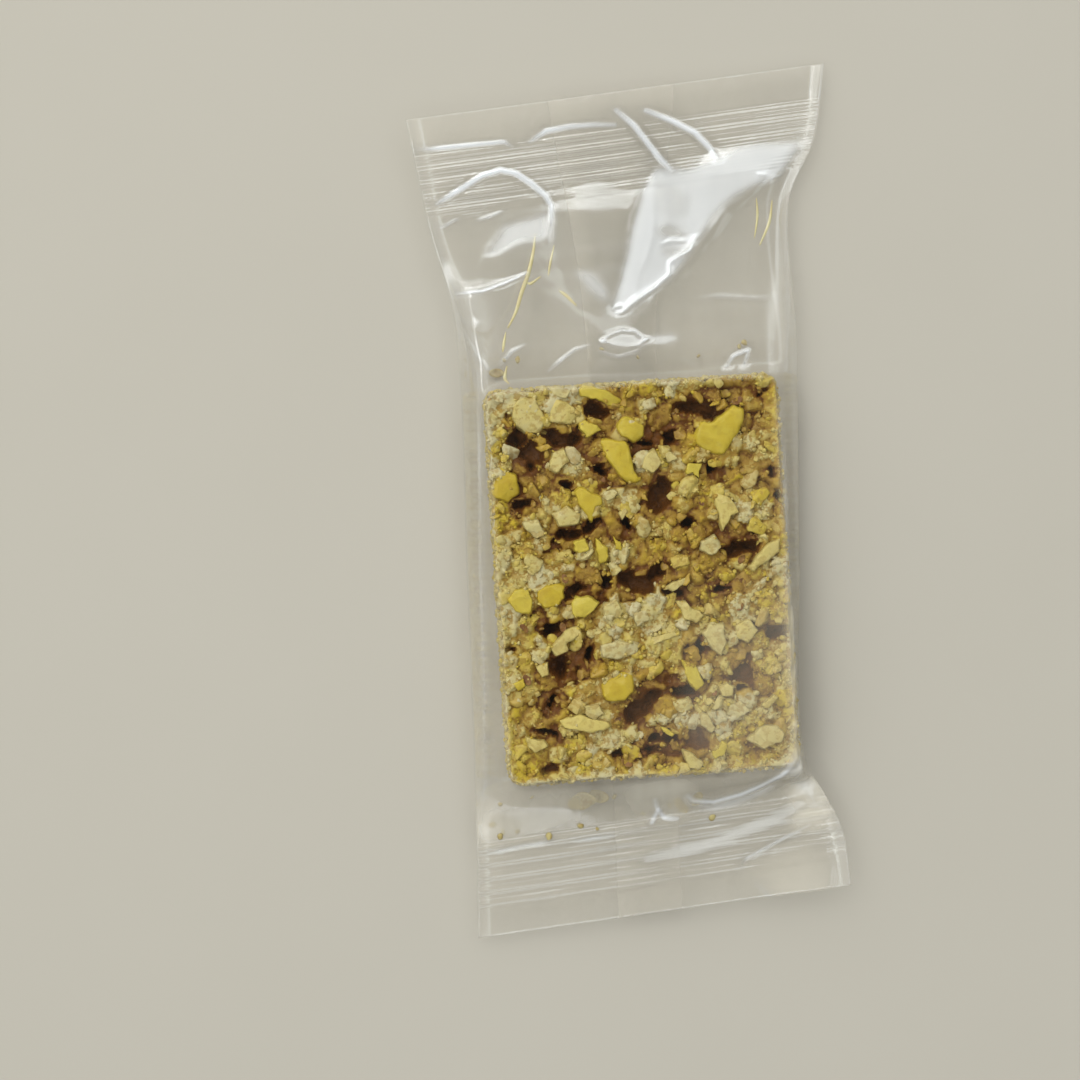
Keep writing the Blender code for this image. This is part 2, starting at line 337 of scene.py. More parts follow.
@dataclass(frozen=True)
class NutFinish:
    """The finish of chopped nut: matt and mottled, browner the deeper it is sunk, which is honey in the
    hollows and partly painted shade, and near black at the bottom of the deep gaps, which is painted shade.
    """

    name: str
    palette: tuple[tuple[float, Colour], ...]
    # Honey brown that also serves as painted shade in the hollows, the near black painted shade of the deep
    # gaps, the golden glaze, and the depth over which the painted shade deepens
    honey_and_shade: Colour = (0.26, 0.150, 0.022)
    gap_shade: Colour = (0.112, 0.039, 0.005)
    golden: Colour = (0.365, 0.228, 0.024)
    darkening_depth: float = 2.9 * MM
    mottle: float = 0.30
    pitted: float = 0.40
    roughness: float = 0.5
    spot: float = 2.2 * MM
    pit: float = 1.2 * MM
    grain: float = 0.6 * MM
    bump_depth: float = 0.10 * MM
    specular: float = 0.25

    def material(self) -> bpy.types.Material:
        """Returns the finish as a material."""
        paint = Paint(bpy.data.materials.new(self.name))
        tone, sunk, honey = (paint.attribute(name) for name in ("tone", "sunk", "honey"))
        spots = paint.noise(self.spot, 4.0)
        grain = paint.noise(self.grain, 3.0, 0.65)
        pits = paint.noise(self.pit, 2.0, 0.6).step(0.47, 0.62) * self.pitted
        shade = (tone + (spots - 0.5) * self.mottle).held()
        base = paint.ramp(shade, self.palette)
        grained = paint.mixed(grain.step(0.56, 0.72) * 0.22, base, self.golden)
        speckled = paint.mixed(pits, grained, self.honey_and_shade)
        glazed = paint.mixed((honey + (spots - 0.5) * 0.8).step(0.25, 0.95), speckled, self.golden)
        # Painted shade: the colour darkens with depth under the face, with honey, pits and spots, first to
        # honey brown and then to near black
        depth = sunk / self.darkening_depth * (honey + 0.5) + (spots - 0.5) * 0.4
        depth = depth + pits * 0.4
        honeyed_and_shaded = paint.mixed(depth.step(0.22, 0.85), glazed, self.honey_and_shade)
        colour = paint.mixed(depth.step(0.75, 1.35), honeyed_and_shaded, self.gap_shade)
        wet = (spots + honey * 0.15).step(0.50, 0.68)
        surface = {
            "Base Color": colour,
            "Roughness": self.roughness - wet * 0.14,
            "Specular IOR Level": self.specular,
            "Coat Weight": wet * 0.12 * (1 - depth.step(0.3, 0.9)),
            "Coat Roughness": 0.22,
            "Normal": paint.bump(grain * 0.5 + spots * 0.3 - pits, self.bump_depth),
        }
        return paint.finish(paint.add("ShaderNodeBsdfPrincipled", inputs=surface))


@dataclass(frozen=True)
class HoneyFinish:
    """The finish of honey: clear amber and glossy."""

    name: str = "honey"
    colour: Colour = (0.60, 0.53, 0.25)
    dark: Colour = (0.52, 0.42, 0.15)

    def material(self) -> bpy.types.Material:
        """Returns the finish as a material."""
        paint = Paint(bpy.data.materials.new(self.name))
        spots = paint.noise(3 * MM)
        surface = {
            "Base Color": paint.mixed(spots.step(0.4, 0.6), self.colour, self.dark),
            "Roughness": 0.22 + spots * 0.1,
            "Coat Weight": 0.5,
        }
        return paint.finish(paint.add("ShaderNodeBsdfPrincipled", inputs=surface))


@dataclass(frozen=True)
class FilmFinish:
    """The finish of clear film: see-through and glossy, with a thin milky haze and a white painted glare
    kept at each point.
    """

    name: str = "clear_film"
    haze_colour: Colour = (0.80, 0.735, 0.60)
    # The second white is the painted glare, which stands in for the film's reflections where it is creased
    glare_colour: Colour = (0.80, 0.815, 0.83)
    gloss_colour: Colour = (0.97, 0.985, 1.0)
    gloss_roughness: float = 0.09
    gloss_share: float = 2.4
    most_gloss: float = 0.26
    index: float = 1.5
    wrinkle: float = 0.006 * MM
    wrinkle_span: float = 1.7 * MM
    patch_span: float = 7 * MM
    line: float = 0.7 * MM
    line_depth: float = 0.014 * MM

    def material(self) -> bpy.types.Material:
        """Returns the finish as a material."""
        paint = Paint(bpy.data.materials.new(self.name))
        haze, white, dull = (paint.attribute(name) for name in ("haze", "white", "dull"))
        station, pressed = paint.attribute("station"), paint.attribute("pressed")
        wrinkle = paint.noise(self.wrinkle_span, 2.0, 0.45)
        lines = paint.add("ShaderNodeMath", {"operation": "SINE"}, {0: station * (2 * math.pi / self.line)})
        strength = pressed * paint.noise(self.patch_span, 2.0).step(0.30, 0.65)
        height = wrinkle * (self.wrinkle / MM) + lines * strength * (self.line_depth / MM)
        normal = paint.bump(height, 1.0 * MM)
        mirrored = paint.add("ShaderNodeFresnel", inputs={"IOR": self.index, "Normal": normal})
        gloss = paint.maths("MINIMUM", mirrored * self.gloss_share, self.most_gloss) * (1 - dull)
        shine = paint.add("ShaderNodeBsdfPrincipled", inputs={
            "Base Color": (*self.gloss_colour, 1.0),
            "Metallic": 1.0,
            "Roughness": self.gloss_roughness,
            "Normal": normal,
        })
        # The first layer is milky haze; the second, white layer is painted glare
        veil, painted_glare = (paint.add("ShaderNodeBsdfPrincipled", inputs={
            "Base Color": (*colour, 1.0),
            "Roughness": 0.5,
            "Specular IOR Level": 0.0,
            "Normal": normal,
        }) for colour in (self.haze_colour, self.glare_colour))
        clear = paint.add("ShaderNodeBsdfTransparent")
        hazy = paint.add("ShaderNodeMixShader", inputs={0: haze, 1: clear, 2: veil})
        grazing = paint.add("ShaderNodeLayerWeight", inputs={"Blend": 0.5}, output="Facing")
        # Painted glare: white where the film is creased, fading at grazing view
        share = white * (1 - grazing.step(0.1, 0.8) * 0.8)
        glared = paint.add("ShaderNodeMixShader", inputs={0: share, 1: hazy, 2: painted_glare})
        film = paint.add("ShaderNodeMixShader", inputs={0: gloss, 1: glared, 2: shine})
        return paint.finish(film)


@dataclass(frozen=True)
class FloorFinish:
    """The finish of the pale floor."""

    name: str = "pale_floor"
    colour: Colour = (0.462, 0.428, 0.360)
    other: Colour = (0.442, 0.408, 0.340)

    def material(self) -> bpy.types.Material:
        """Returns the finish as a material."""
        paint = Paint(bpy.data.materials.new(self.name))
        clouds = paint.noise(60 * MM)
        surface = {"Base Color": paint.mixed(clouds, self.colour, self.other), "Roughness": 0.75}
        return paint.finish(paint.add("ShaderNodeBsdfPrincipled", inputs=surface))


YELLOW: Colour = (0.44, 0.318, 0.020)
DEEP_YELLOW: Colour = (0.36, 0.238, 0.012)
BRIGHT_YELLOW: Colour = (0.49, 0.388, 0.052)
HONEYED: Colour = (0.47, 0.352, 0.062)
CREAM: Colour = (0.48, 0.384, 0.118)
PALE: Colour = (0.465, 0.393, 0.172)
WHITISH: Colour = (0.475, 0.415, 0.222)
TAN: Colour = (0.35, 0.215, 0.030)
PRESSED = ((0.0, TAN), (0.2, YELLOW), (0.4, HONEYED), (0.6, CREAM), (0.82, PALE), (1.0, WHITISH))

YELLOW_NUT = NutFinish("yellow_nut", ((0.0, DEEP_YELLOW), (0.4, YELLOW), (1.0, BRIGHT_YELLOW)),
                       mottle=0.90, pitted=0.14, golden=(0.44, 0.29, 0.016))
CREAM_NUT = NutFinish("cream_nut", ((0.0, (0.51, 0.40, 0.09)), (0.45, CREAM), (1.0, PALE)),
                      mottle=0.45, pitted=0.34)
MIXED_NUT = NutFinish("chopped_nut", PRESSED, mottle=0.45, pitted=0.45, bump_depth=0.13 * MM)
CRUMB = NutFinish("nut_crumb", ((0.0, TAN), (0.25, YELLOW), (0.55, CREAM), (1.0, PALE)),
                  mottle=0.5, pitted=0.25, bump_depth=0.05 * MM)
CORE = NutFinish("pressed_nut", PRESSED, mottle=0.55, pitted=0.62, bump_depth=0.16 * MM, specular=0.12)
SKIN = NutFinish("nut_skin", ((0.0, (0.12, 0.045, 0.012)), (1.0, (0.24, 0.115, 0.03))), mottle=0.6)
LOOSE_NUT = NutFinish("loose_nut", ((0.0, (0.22, 0.14, 0.05)), (0.5, (0.40, 0.33, 0.15)), (1.0, PALE)),
                      darkening_depth=40 * MM, specular=0.1)


# Places and forms


@dataclass(frozen=True)
class PhotoScale:
    """How the photograph's pixels lie on the bar's face."""

    pixel: float = 0.2 * MM
    middle: tuple[float, float] = (643.5, 580.75)
    turn: float = math.radians(3.7)

    def places(self, pixels: Points) -> Array:
        """Turns pixels into places on the bar.

        Args:
            pixels: pairs of pixel coordinates.

        Returns:
            Places from the bar's middle, in metres.
        """
        offset = (np.array(pixels, float)[:, :2] - self.middle) * (self.pixel, -self.pixel)
        cos, sin = math.cos(self.turn), math.sin(self.turn)
        return offset @ np.array(((cos, -sin), (sin, cos)))


@dataclass(frozen=True)
class BarForm:
    """The sizes of the pressed bar and where it lies in the packet."""

    width: float = 59.4 * MM
    length: float = 80.0 * MM
    face: float = 11.2 * MM
    underside: float = 0.15 * MM
    corner: float = 3.2 * MM
    middle: tuple[float, float] = (1.8 * MM, -15.4 * MM)
    turn: float = math.radians(1.7)

    @property
    def half(self) -> tuple[float, float]:
        """Half the bar's width and half its length."""
        return self.width / 2, self.length / 2

    def to_packet(self, points: Array) -> Array:
        """Moves points from the bar's own place to the packet's.

        Args:
            points: rows of x, y and z from the bar's middle.

        Returns:
            The same points in the packet.
        """
        x, y = turned(points[:, 0], points[:, 1], -self.turn)
        return np.column_stack((x + self.middle[0], y + self.middle[1], points[:, 2]))

    def from_packet(self, x: Array, y: Array) -> tuple[Array, Array]:
        """Finds where points of the packet lie on the bar.

        Args:
            x: places across the packet.
            y: places along it.

        Returns:
            The places across and along the bar.
        """
        return turned(x - self.middle[0], y - self.middle[1], self.turn)

    def inside(self, x: Array, y: Array) -> Array:
        """Measures how far places on the bar lie inside its rounded outline.

        Args:
            x: places across the bar.
            y: places along it.

        Returns:
            Distances, below 0 outside the outline.
        """
        across, along = (np.abs(place) - (half - self.corner) for place, half in zip((x, y), self.half))
        out = np.hypot(np.maximum(across, 0), np.maximum(along, 0))
        return self.corner - out - np.minimum(np.maximum(across, along), 0)

    def buried(self, points: Array) -> Array:
        """Returns how deep points, from the bar's middle, lie under its face and sides."""
        depth = np.minimum(self.face - points[:, 2], self.inside(points[:, 0], points[:, 1]))
        return np.maximum(depth, 0.0)


@dataclass(frozen=True)
class Gap:
    """A dark gap between the nuts of the face: its middle in the photograph, its size and turn."""

    x: float
    y: float
    long: float
    wide: float
    turn: float = 0.0
    depth: float = 4.2


GAPS = (
    Gap(596, 410, 6.2, 3.0, -32), Gap(560, 438, 9.0, 3.0, -8), Gap(531, 456, 4.4, 5.6, 15),
    Gap(702, 408, 9.6, 3.4, -12), Gap(661, 494, 5.4, 7.6, -22), Gap(668, 438, 3.4, 2.6, 10),
    Gap(685, 524, 3.4, 2.2, 5), Gap(602, 470, 3.4, 1.5, -50), Gap(566, 484, 2.8, 1.8, -30),
    Gap(522, 504, 4.0, 2.0, 0), Gap(568, 535, 6.8, 2.2, 12), Gap(594, 527, 4.6, 2.6, 30),
    Gap(742, 547, 7.4, 3.0, 4), Gap(657, 573, 4.4, 3.0, 10), Gap(639, 583, 9.0, 4.0, -24),
    Gap(552, 629, 4.4, 2.8, 20), Gap(561, 668, 4.4, 4.4, 10), Gap(642, 708, 9.4, 3.6, 34),
    Gap(778, 632, 4.6, 3.4, 10, 2.6), Gap(702, 741, 5.6, 4.6, 0, 1.7), Gap(546, 735, 5.8, 1.6, -14),
    Gap(664, 740, 6.0, 2.6, 0, 3.0), Gap(744, 675, 4.6, 4.2, 20, 2.6), Gap(608, 581, 2.8, 2.6, 0),
    Gap(675, 594, 4.6, 1.8, 0, 2.6), Gap(684, 694, 5.6, 2.2, -10), Gap(702, 649, 2.6, 2.0, 30),
    Gap(588, 657, 2.2, 4.2, -20), Gap(627, 524, 2.4, 1.8, 0), Gap(576, 592, 5.2, 2.2, 30),
    Gap(518, 438, 3.0, 4.4, -20), Gap(712, 470, 3.0, 2.0, 40), Gap(643, 444, 2.6, 1.6, 0),
    Gap(744, 690, 2.4, 1.4, 0, 2.6), Gap(553, 705, 3.4, 1.6, 60), Gap(722, 590, 3.4, 1.4, 20),
    Gap(783, 500, 2.0, 2.6, 0, 2.6), Gap(775, 470, 2.2, 2.2, 0, 2.6), Gap(763, 392, 3.2, 0.8, 8, 2.0),
    Gap(617, 386, 2.6, 1.6, 0, 2.6), Gap(740, 376, 2.0, 2.2, 0, 3.0), Gap(550, 773, 4.2, 2.0, 6, 2.4),
    Gap(617, 757, 3.0, 2.0, 0, 2.4), Gap(652, 752, 3.4, 1.6, 0, 2.6), Gap(511, 650, 2.8, 1.8, 0, 2.0),
)


@dataclass(frozen=True)
class Patch:
    """A patch of the face: its middle in the photograph, its reach, how pale it is and its honey."""

    x: float
    y: float
    reach: float
    pale: float
    honey: float


PATCHES = (
    Patch(525, 410, 30, 0.92, 0.0), Patch(566, 400, 20, 0.95, 0.0), Patch(640, 385, 26, 0.6, 0.3),
    Patch(690, 384, 22, 0.75, 0.2), Patch(722, 388, 16, 0.2, 0.8), Patch(765, 385, 16, 0.6, 0.2),
    Patch(655, 410, 20, 0.3, 0.7), Patch(600, 450, 14, 0.2, 0.7), Patch(556, 458, 18, 0.7, 0.3),
    Patch(585, 475, 16, 0.3, 0.7), Patch(500, 450, 14, 0.7, 0.1), Patch(680, 420, 16, 0.4, 0.6),
    Patch(762, 420, 18, 0.4, 0.5), Patch(735, 465, 22, 0.4, 0.6), Patch(770, 455, 16, 0.6, 0.3),
    Patch(540, 500, 20, 0.4, 0.6), Patch(560, 518, 18, 0.8, 0.1), Patch(610, 500, 16, 0.8, 0.1),
    Patch(685, 500, 16, 0.5, 0.5), Patch(760, 515, 18, 0.8, 0.1), Patch(640, 540, 22, 0.5, 0.5),
    Patch(700, 560, 20, 0.3, 0.7), Patch(720, 530, 16, 0.3, 0.7), Patch(510, 560, 20, 0.8, 0.1),
    Patch(550, 560, 16, 0.7, 0.3), Patch(590, 600, 14, 0.3, 0.7), Patch(640, 610, 26, 0.95, 0.0),
    Patch(700, 590, 18, 0.4, 0.5), Patch(760, 590, 24, 0.7, 0.2), Patch(520, 640, 22, 0.85, 0.1),
    Patch(575, 665, 18, 0.25, 0.8), Patch(620, 650, 18, 0.85, 0.1), Patch(655, 680, 20, 0.3, 0.7),
    Patch(700, 680, 20, 0.5, 0.3), Patch(760, 660, 22, 0.4, 0.4), Patch(540, 700, 20, 0.5, 0.4),
    Patch(600, 715, 22, 0.75, 0.2), Patch(680, 715, 20, 0.9, 0.0), Patch(740, 710, 24, 0.9, 0.0),
    Patch(540, 750, 24, 0.6, 0.2), Patch(600, 750, 24, 0.8, 0.1), Patch(655, 755, 18, 0.3, 0.7),
    Patch(700, 760, 16, 0.3, 0.6), Patch(760, 765, 24, 0.3, 0.5),
)


class Nut(Enum):
    """The kinds of nut piece that show on the face."""

    YELLOW = "yellow"
    CREAM = "cream"
    PALE = "pale"


@dataclass(frozen=True)
class Outline:
    """One nut piece as it shows: its tone, its rise and its outline in the photograph."""

    tone: float
    rise: float
    pixels: Points


OUTLINES = {
    Nut.YELLOW: (
        Outline(0.55, 0.9, ((691, 434), (697, 421), (713, 420), (737, 399), (750, 408), (741, 434),
            (724, 458), (704, 453), (693, 445))),
        Outline(0.6, 0.6, ((615, 422), (624, 415), (646, 426), (645, 437), (634, 444), (618, 437))),
        Outline(0.5, 0.8, ((597, 437), (624, 438), (632, 449), (635, 472), (644, 482), (638, 487),
            (626, 484), (604, 460))),
        Outline(0.5, 0.6, ((571, 492), (579, 485), (604, 498), (605, 505), (596, 507), (592, 524),
            (582, 514), (575, 498))),
        Outline(0.25, 0.3, ((490, 490), (499, 465), (518, 474), (522, 494), (507, 504), (491, 500))),
        Outline(0.75, 0.4, ((574, 389), (582, 382), (606, 389), (624, 402), (613, 408), (595, 400),
            (577, 396))),
        Outline(0.7, 0.7, ((506, 601), (515, 587), (529, 587), (535, 599), (531, 616), (515, 615))),
        Outline(0.35, 0.6, ((537, 589), (555, 582), (567, 583), (566, 597), (557, 608), (544, 610),
            (536, 599))),
        Outline(0.9, 0.6, ((569, 603), (577, 595), (591, 596), (601, 603), (595, 612), (586, 619),
            (570, 616))),
        Outline(0.3, 0.8, ((598, 684), (624, 671), (635, 673), (636, 695), (626, 705), (606, 704),
            (600, 695))),
        Outline(0.8, 0.4, ((681, 660), (696, 666), (708, 686), (700, 695), (690, 684), (684, 673))),
        Outline(0.8, 0.4, ((574, 539), (586, 536), (589, 549), (580, 556), (572, 551))),
        Outline(0.7, 0.4, ((597, 537), (608, 546), (610, 559), (601, 564), (596, 550))),
        Outline(0.5, 0.3, ((612, 535), (620, 543), (623, 553), (615, 549))),
        Outline(0.55, 0.4, ((512, 685), (522, 678), (526, 687), (518, 693))),
        Outline(0.85, 0.5, ((685, 462), (703, 462), (700, 481), (694, 472), (686, 475))),
        Outline(0.9, 0.4, ((722, 740), (729, 745), (726, 756), (716, 762), (712, 754), (720, 749))),
        Outline(0.9, 0.3, ((577, 424), (584, 418), (598, 424), (604, 431), (588, 438), (579, 431))),
        Outline(0.8, 0.3, ((660, 727), (676, 735), (673, 739), (664, 734))),
    ),
    Nut.CREAM: (
        Outline(0.75, 0.8, ((702, 631), (713, 618), (725, 624), (731, 644), (722, 658), (713, 650))),
        Outline(0.35, 0.6, ((714, 486), (729, 494), (741, 512), (732, 516), (723, 536), (717, 516),
            (714, 499))),
        Outline(0.45, 0.5, ((785, 536), (782, 552), (754, 574), (745, 570), (767, 545))),
        Outline(0.7, 0.7, ((747, 740), (760, 728), (780, 724), (789, 733), (785, 744), (765, 753),
            (752, 746))),
        Outline(0.55, 0.6, ((683, 751), (695, 755), (707, 764), (700, 773), (689, 771), (684, 760))),
        Outline(0.5, 0.6, ((548, 650), (566, 630), (582, 625), (583, 632), (568, 645), (568, 652),
            (555, 660))),
        Outline(0.5, 0.4, ((650, 643), (655, 635), (675, 631), (679, 636), (666, 641), (653, 646))),
        Outline(0.8, 0.5, ((700, 713), (709, 715), (718, 731), (713, 736), (702, 726))),
        Outline(0.4, 0.4, ((760, 708), (776, 694), (781, 698), (770, 711))),
        Outline(0.4, 0.3, ((534, 665), (548, 663), (551, 675), (543, 681))),
        Outline(0.25, 0.3, ((555, 723), (577, 714), (612, 723), (614, 729), (595, 735), (560, 729))),
        Outline(0.45, 0.3, ((524, 738), (544, 741), (548, 748), (535, 755), (525, 749))),
        Outline(0.6, 0.3, ((618, 513), (624, 508), (628, 514), (623, 522))),
        Outline(0.5, 0.5, ((718, 688), (728, 682), (737, 687), (734, 697), (722, 699))),
        Outline(0.5, 0.5, ((675, 602), (684, 600), (700, 612), (708, 616), (697, 626), (683, 618))),
        Outline(0.6, 0.4, ((642, 456), (656, 449), (664, 462), (655, 474), (640, 468))),
        Outline(0.7, 0.4, ((661, 452), (671, 449), (679, 458), (668, 463))),
        Outline(0.6, 0.4, ((663, 590), (672, 583), (690, 577), (688, 584), (674, 592))),
    ),
    Nut.PALE: (
        Outline(0.3, 0.4, ((550, 395), (568, 402), (582, 414), (572, 425), (548, 425), (545, 408))),
        Outline(0.7, 0.4, ((521, 522), (537, 517), (546, 537), (537, 541), (524, 530))),
        Outline(0.5, 0.5, ((550, 514), (568, 506), (581, 514), (581, 525), (559, 530))),
        Outline(0.8, 0.5, ((602, 491), (615, 489), (618, 494), (608, 503), (601, 499))),
        Outline(0.9, 0.4, ((598, 646), (612, 640), (642, 643), (640, 653), (617, 661), (599, 659))),
        Outline(0.6, 0.5, ((602, 605), (618, 598), (626, 612), (616, 622), (604, 618))),
        Outline(0.9, 0.5, ((632, 612), (646, 608), (650, 622), (638, 628))),
        Outline(0.5, 0.4, ((553, 449), (563, 447), (570, 462), (560, 474), (547, 470))),
        Outline(0.4, 0.4, ((735, 625), (752, 618), (760, 630), (750, 645), (736, 640))),
        Outline(0.7, 0.4, ((700, 540), (716, 534), (724, 548), (712, 556), (700, 550))),
        Outline(0.8, 0.4, ((728, 705), (745, 702), (752, 712), (740, 720), (728, 716))),
        Outline(0.6, 0.4, ((583, 706), (600, 704), (607, 714), (595, 722), (584, 716))),
        Outline(0.6, 0.3, ((672, 700), (690, 697), (696, 708), (684, 716), (674, 712))),
        Outline(0.45, 0.3, ((508, 406), (520, 395), (536, 396), (543, 409), (548, 424), (540, 436),
            (524, 437), (513, 426))),
        Outline(0.75, 0.2, ((546, 388), (560, 385), (572, 391), (566, 400), (552, 396))),
    ),
}


# Meshes


def deselect() -> None:
    """Deselects every object, so that an operator acts only on the new one."""
    bpy.ops.object.select_all(action="DESELECT")


def apply_modifiers(obj: bpy.types.Object) -> None:
    """Applies an object's modifiers in order.

    Args:
        obj: the object, which is made the active one.
    """
    deselect()
    obj.select_set(True)
    bpy.context.view_layer.objects.active = obj
    for modifier in list(obj.modifiers):
        bpy.ops.object.modifier_apply(modifier=modifier.name)


def corners_of(obj: bpy.types.Object) -> Array:
    """Returns an object's vertices as rows of x, y and z."""
    values = np.empty(len(obj.data.vertices) * 3, np.float32)
    obj.data.vertices.foreach_get("co", values)
    return values.reshape(-1, 3).astype(float)


def triangles_of(obj: bpy.types.Object) -> Array:
    """Returns an object's faces as rows of three vertex numbers."""
    obj.data.calc_loop_triangles()
    values = np.empty(len(obj.data.loop_triangles) * 3, np.int32)
    obj.data.loop_triangles.foreach_get("vertices", values)
    return values.reshape(-1, 3)


def set_corners(obj: bpy.types.Object, points: Array) -> None:
    """Moves an object's vertices to rows of x, y and z."""
    obj.data.vertices.foreach_set("co", points.astype(np.float32).ravel())
    obj.data.update()


def keep(obj: bpy.types.Object, **layers: Array) -> None:
    """Keeps values at each vertex, under their names, for the finish to read."""
    for name, values in layers.items():
        layer = obj.data.attributes.new(name, "FLOAT", "POINT")
        layer.data.foreach_set("value", values.astype(np.float32).ravel())


def evened(obj: bpy.types.Object, spacing: float, rounds: int = 0) -> None:
    """Gives an object a mesh of even spacing.

    Args:
        obj: the object.
        spacing: how far apart the mesh's vertices are.
        rounds: how often its edges are softened after that.
    """
    even = obj.modifiers.new("even", "REMESH")
    even.mode, even.voxel_size = "VOXEL", spacing
    if rounds:
        soften = obj.modifiers.new("soften", "SMOOTH")
        soften.factor, soften.iterations = 0.5, rounds
    apply_modifiers(obj)


def thicken(obj: bpy.types.Object, thickness: float, offset: float = -1.0) -> None:
    """Gives a sheet a thickness, behind its faces, or before them where the offset is 1."""
    thick = obj.modifiers.new("thick", "SOLIDIFY")
    thick.thickness, thick.offset = thickness, offset
    apply_modifiers(obj)


def thin_out(obj: bpy.types.Object, faces: int) -> None:
    """Thins a mesh to about as many triangles as wanted.

    Args:
        obj: the object.
        faces: how many triangles are wanted.
    """
    share = faces / max(len(triangles_of(obj)), 1)
    if share < 1:
        thin = obj.modifiers.new("thin", "DECIMATE")
        thin.ratio = share
        apply_modifiers(obj)


def new_piece(name: str, points: Array, faces: Sequence[Sequence[int]],
              material: bpy.types.Material) -> bpy.types.Object:
    """Makes a smooth piece.

    Args:
        name: the piece's name.
        points: its vertices, rows of x, y and z.
        faces: the vertex numbers of each face.
        material: its finish.

    Returns:
        The piece.
    """
    mesh = bpy.data.meshes.new(name)
    mesh.from_pydata(points.reshape(-1, 3).tolist(), [], faces)
    mesh.update()
    mesh.shade_smooth()
    mesh.materials.append(material)
    obj = bpy.data.objects.new(name, mesh)
    bpy.context.scene.collection.objects.link(obj)
    return obj


@dataclass(frozen=True)
class Model:
    """A small shape that is modelled once and copied: its vertices and its triangles."""

    corners: Array
    triangles: Array


def taken(obj: bpy.types.Object) -> Model:
    """Takes the shape from an object, which is then removed."""
    model = Model(corners_of(obj), triangles_of(obj))
    bpy.data.objects.remove(obj, do_unlink=True)
    return model


def tumbled(model: Model, size: float, draw: random.Random, lean: float, axes: str = "XY") -> Array:
    """Turns a copy of a shape at random.

    Args:
        model: the shape, 1 metre long.
        size: the copy's length.
        draw: where the turns are drawn from.
        lean: how far it may lean, in radians.
        axes: the axes that it leans about.

    Returns:
        The copy's vertices round its own middle.
    """
    turn = Matrix.Rotation(draw.uniform(0, 2 * math.pi), 3, "Z")
    for axis in axes:
        turn = turn @ Matrix.Rotation(draw.uniform(-lean, lean), 3, axis)
    return model.corners @ np.array(turn).T * size


@dataclass
class Heap:
    """Many small shapes gathered in one mesh."""

    corners: list[Array] = field(default_factory=list)
    triangles: list[Array] = field(default_factory=list)
    tones: list[Array] = field(default_factory=list)
    honeys: list[Array] = field(default_factory=list)
    count: int = 0

    def put(self, model: Model, points: Array, tone: float, honey: float) -> None:
        """Adds a copy of a shape.

        Args:
            model: the shape.
            points: where this copy's vertices are.
            tone: the copy's own tone, from 0 to 1.
            honey: how much honey it has taken up, from 0 to 1.
        """
        self.corners.append(points)
        self.triangles.append(model.triangles + self.count)
        self.tones.append(np.full(len(points), tone))
        self.honeys.append(np.full(len(points), honey))
        self.count += len(points)

    def build(self, name: str, bar: BarForm, material: bpy.types.Material) -> bpy.types.Object:
        """Makes one piece of all the copies.

        Args:
            name: the piece's name.
            bar: the bar that the copies lie on.
            material: the piece's finish.

        Returns:
            The piece.
        """
        points = np.vstack(self.corners)
        obj = new_piece(name, bar.to_packet(points), np.vstack(self.triangles).tolist(), material)
        # sunk drives the finish's painted shade: deeper points are painted browner and darker
        keep(obj, tone=np.concatenate(self.tones), honey=np.concatenate(self.honeys),
             sunk=bar.buried(points))
        return obj


# How many shapes a kind of piece has, their flat breaks, their triangles and their flatness
Shapes = tuple[int, int, int, float]


@dataclass
class Chopper:
    """Chops rough pieces of nut out of round ones.

    A piece is 1 metre long as it is modelled, and so are the sizes here.
    """

    draw: random.Random
    cut_place: tuple[float, float] = (0.18, 0.34)
    slim: tuple[float, float] = (0.62, 0.95)
    spacing: float = 0.055
    dent_span: float = 0.22
    dent_depth: float = 0.16

    def _direction(self) -> Vector:
        """Returns a direction drawn evenly from all round."""
        height, angle = self.draw.uniform(-1, 1), self.draw.uniform(0, 2 * math.pi)
        ring = math.sqrt(1 - height * height)
        return Vector((ring * math.cos(angle), ring * math.sin(angle), height))

    def chunk(self, cuts: int, faces: int, flat: float) -> Model:
        """Models one chopped piece, 1 metre long.

        Args:
            cuts: how many flat breaks it has.
            faces: about how many triangles it has.
            flat: its height as a share of its length.

        Returns:
            The piece.
        """
        deselect()
        bpy.ops.mesh.primitive_ico_sphere_add(subdivisions=3, radius=0.5)
        obj = bpy.context.object
        bpy.ops.object.mode_set(mode="EDIT")
        for _ in range(cuts):
            way = self._direction()
            bpy.ops.mesh.select_all(action="SELECT")
            place = way * self.draw.uniform(*self.cut_place)
            bpy.ops.mesh.bisect(plane_co=place, plane_no=way, use_fill=True, clear_outer=True)
        bpy.ops.mesh.select_all(action="SELECT")
        bpy.ops.transform.resize(value=(1.0, self.draw.uniform(*self.slim), flat))
        bpy.ops.object.mode_set(mode="OBJECT")
        evened(obj, self.spacing, 2)
        thin_out(obj, faces)
        model = taken(obj)
        x, y, z = model.corners.T
        dents = soft_noise(x + z, y - z, self.dent_span, self.draw.randrange(99))
        points = model.corners * (1 + self.dent_depth * dents[:, None])
        middle = (points.max(axis=0) + points.min(axis=0)) / 2
        return Model((points - middle) / np.ptp(points[:, :2], axis=0).max(), model.triangles)

    def chunks(self, shapes: Shapes) -> list[Model]:
        """Models several pieces of one kind."""
        number, cuts, faces, flat = shapes
        return [self.chunk(cuts, faces, flat) for _ in range(number)]


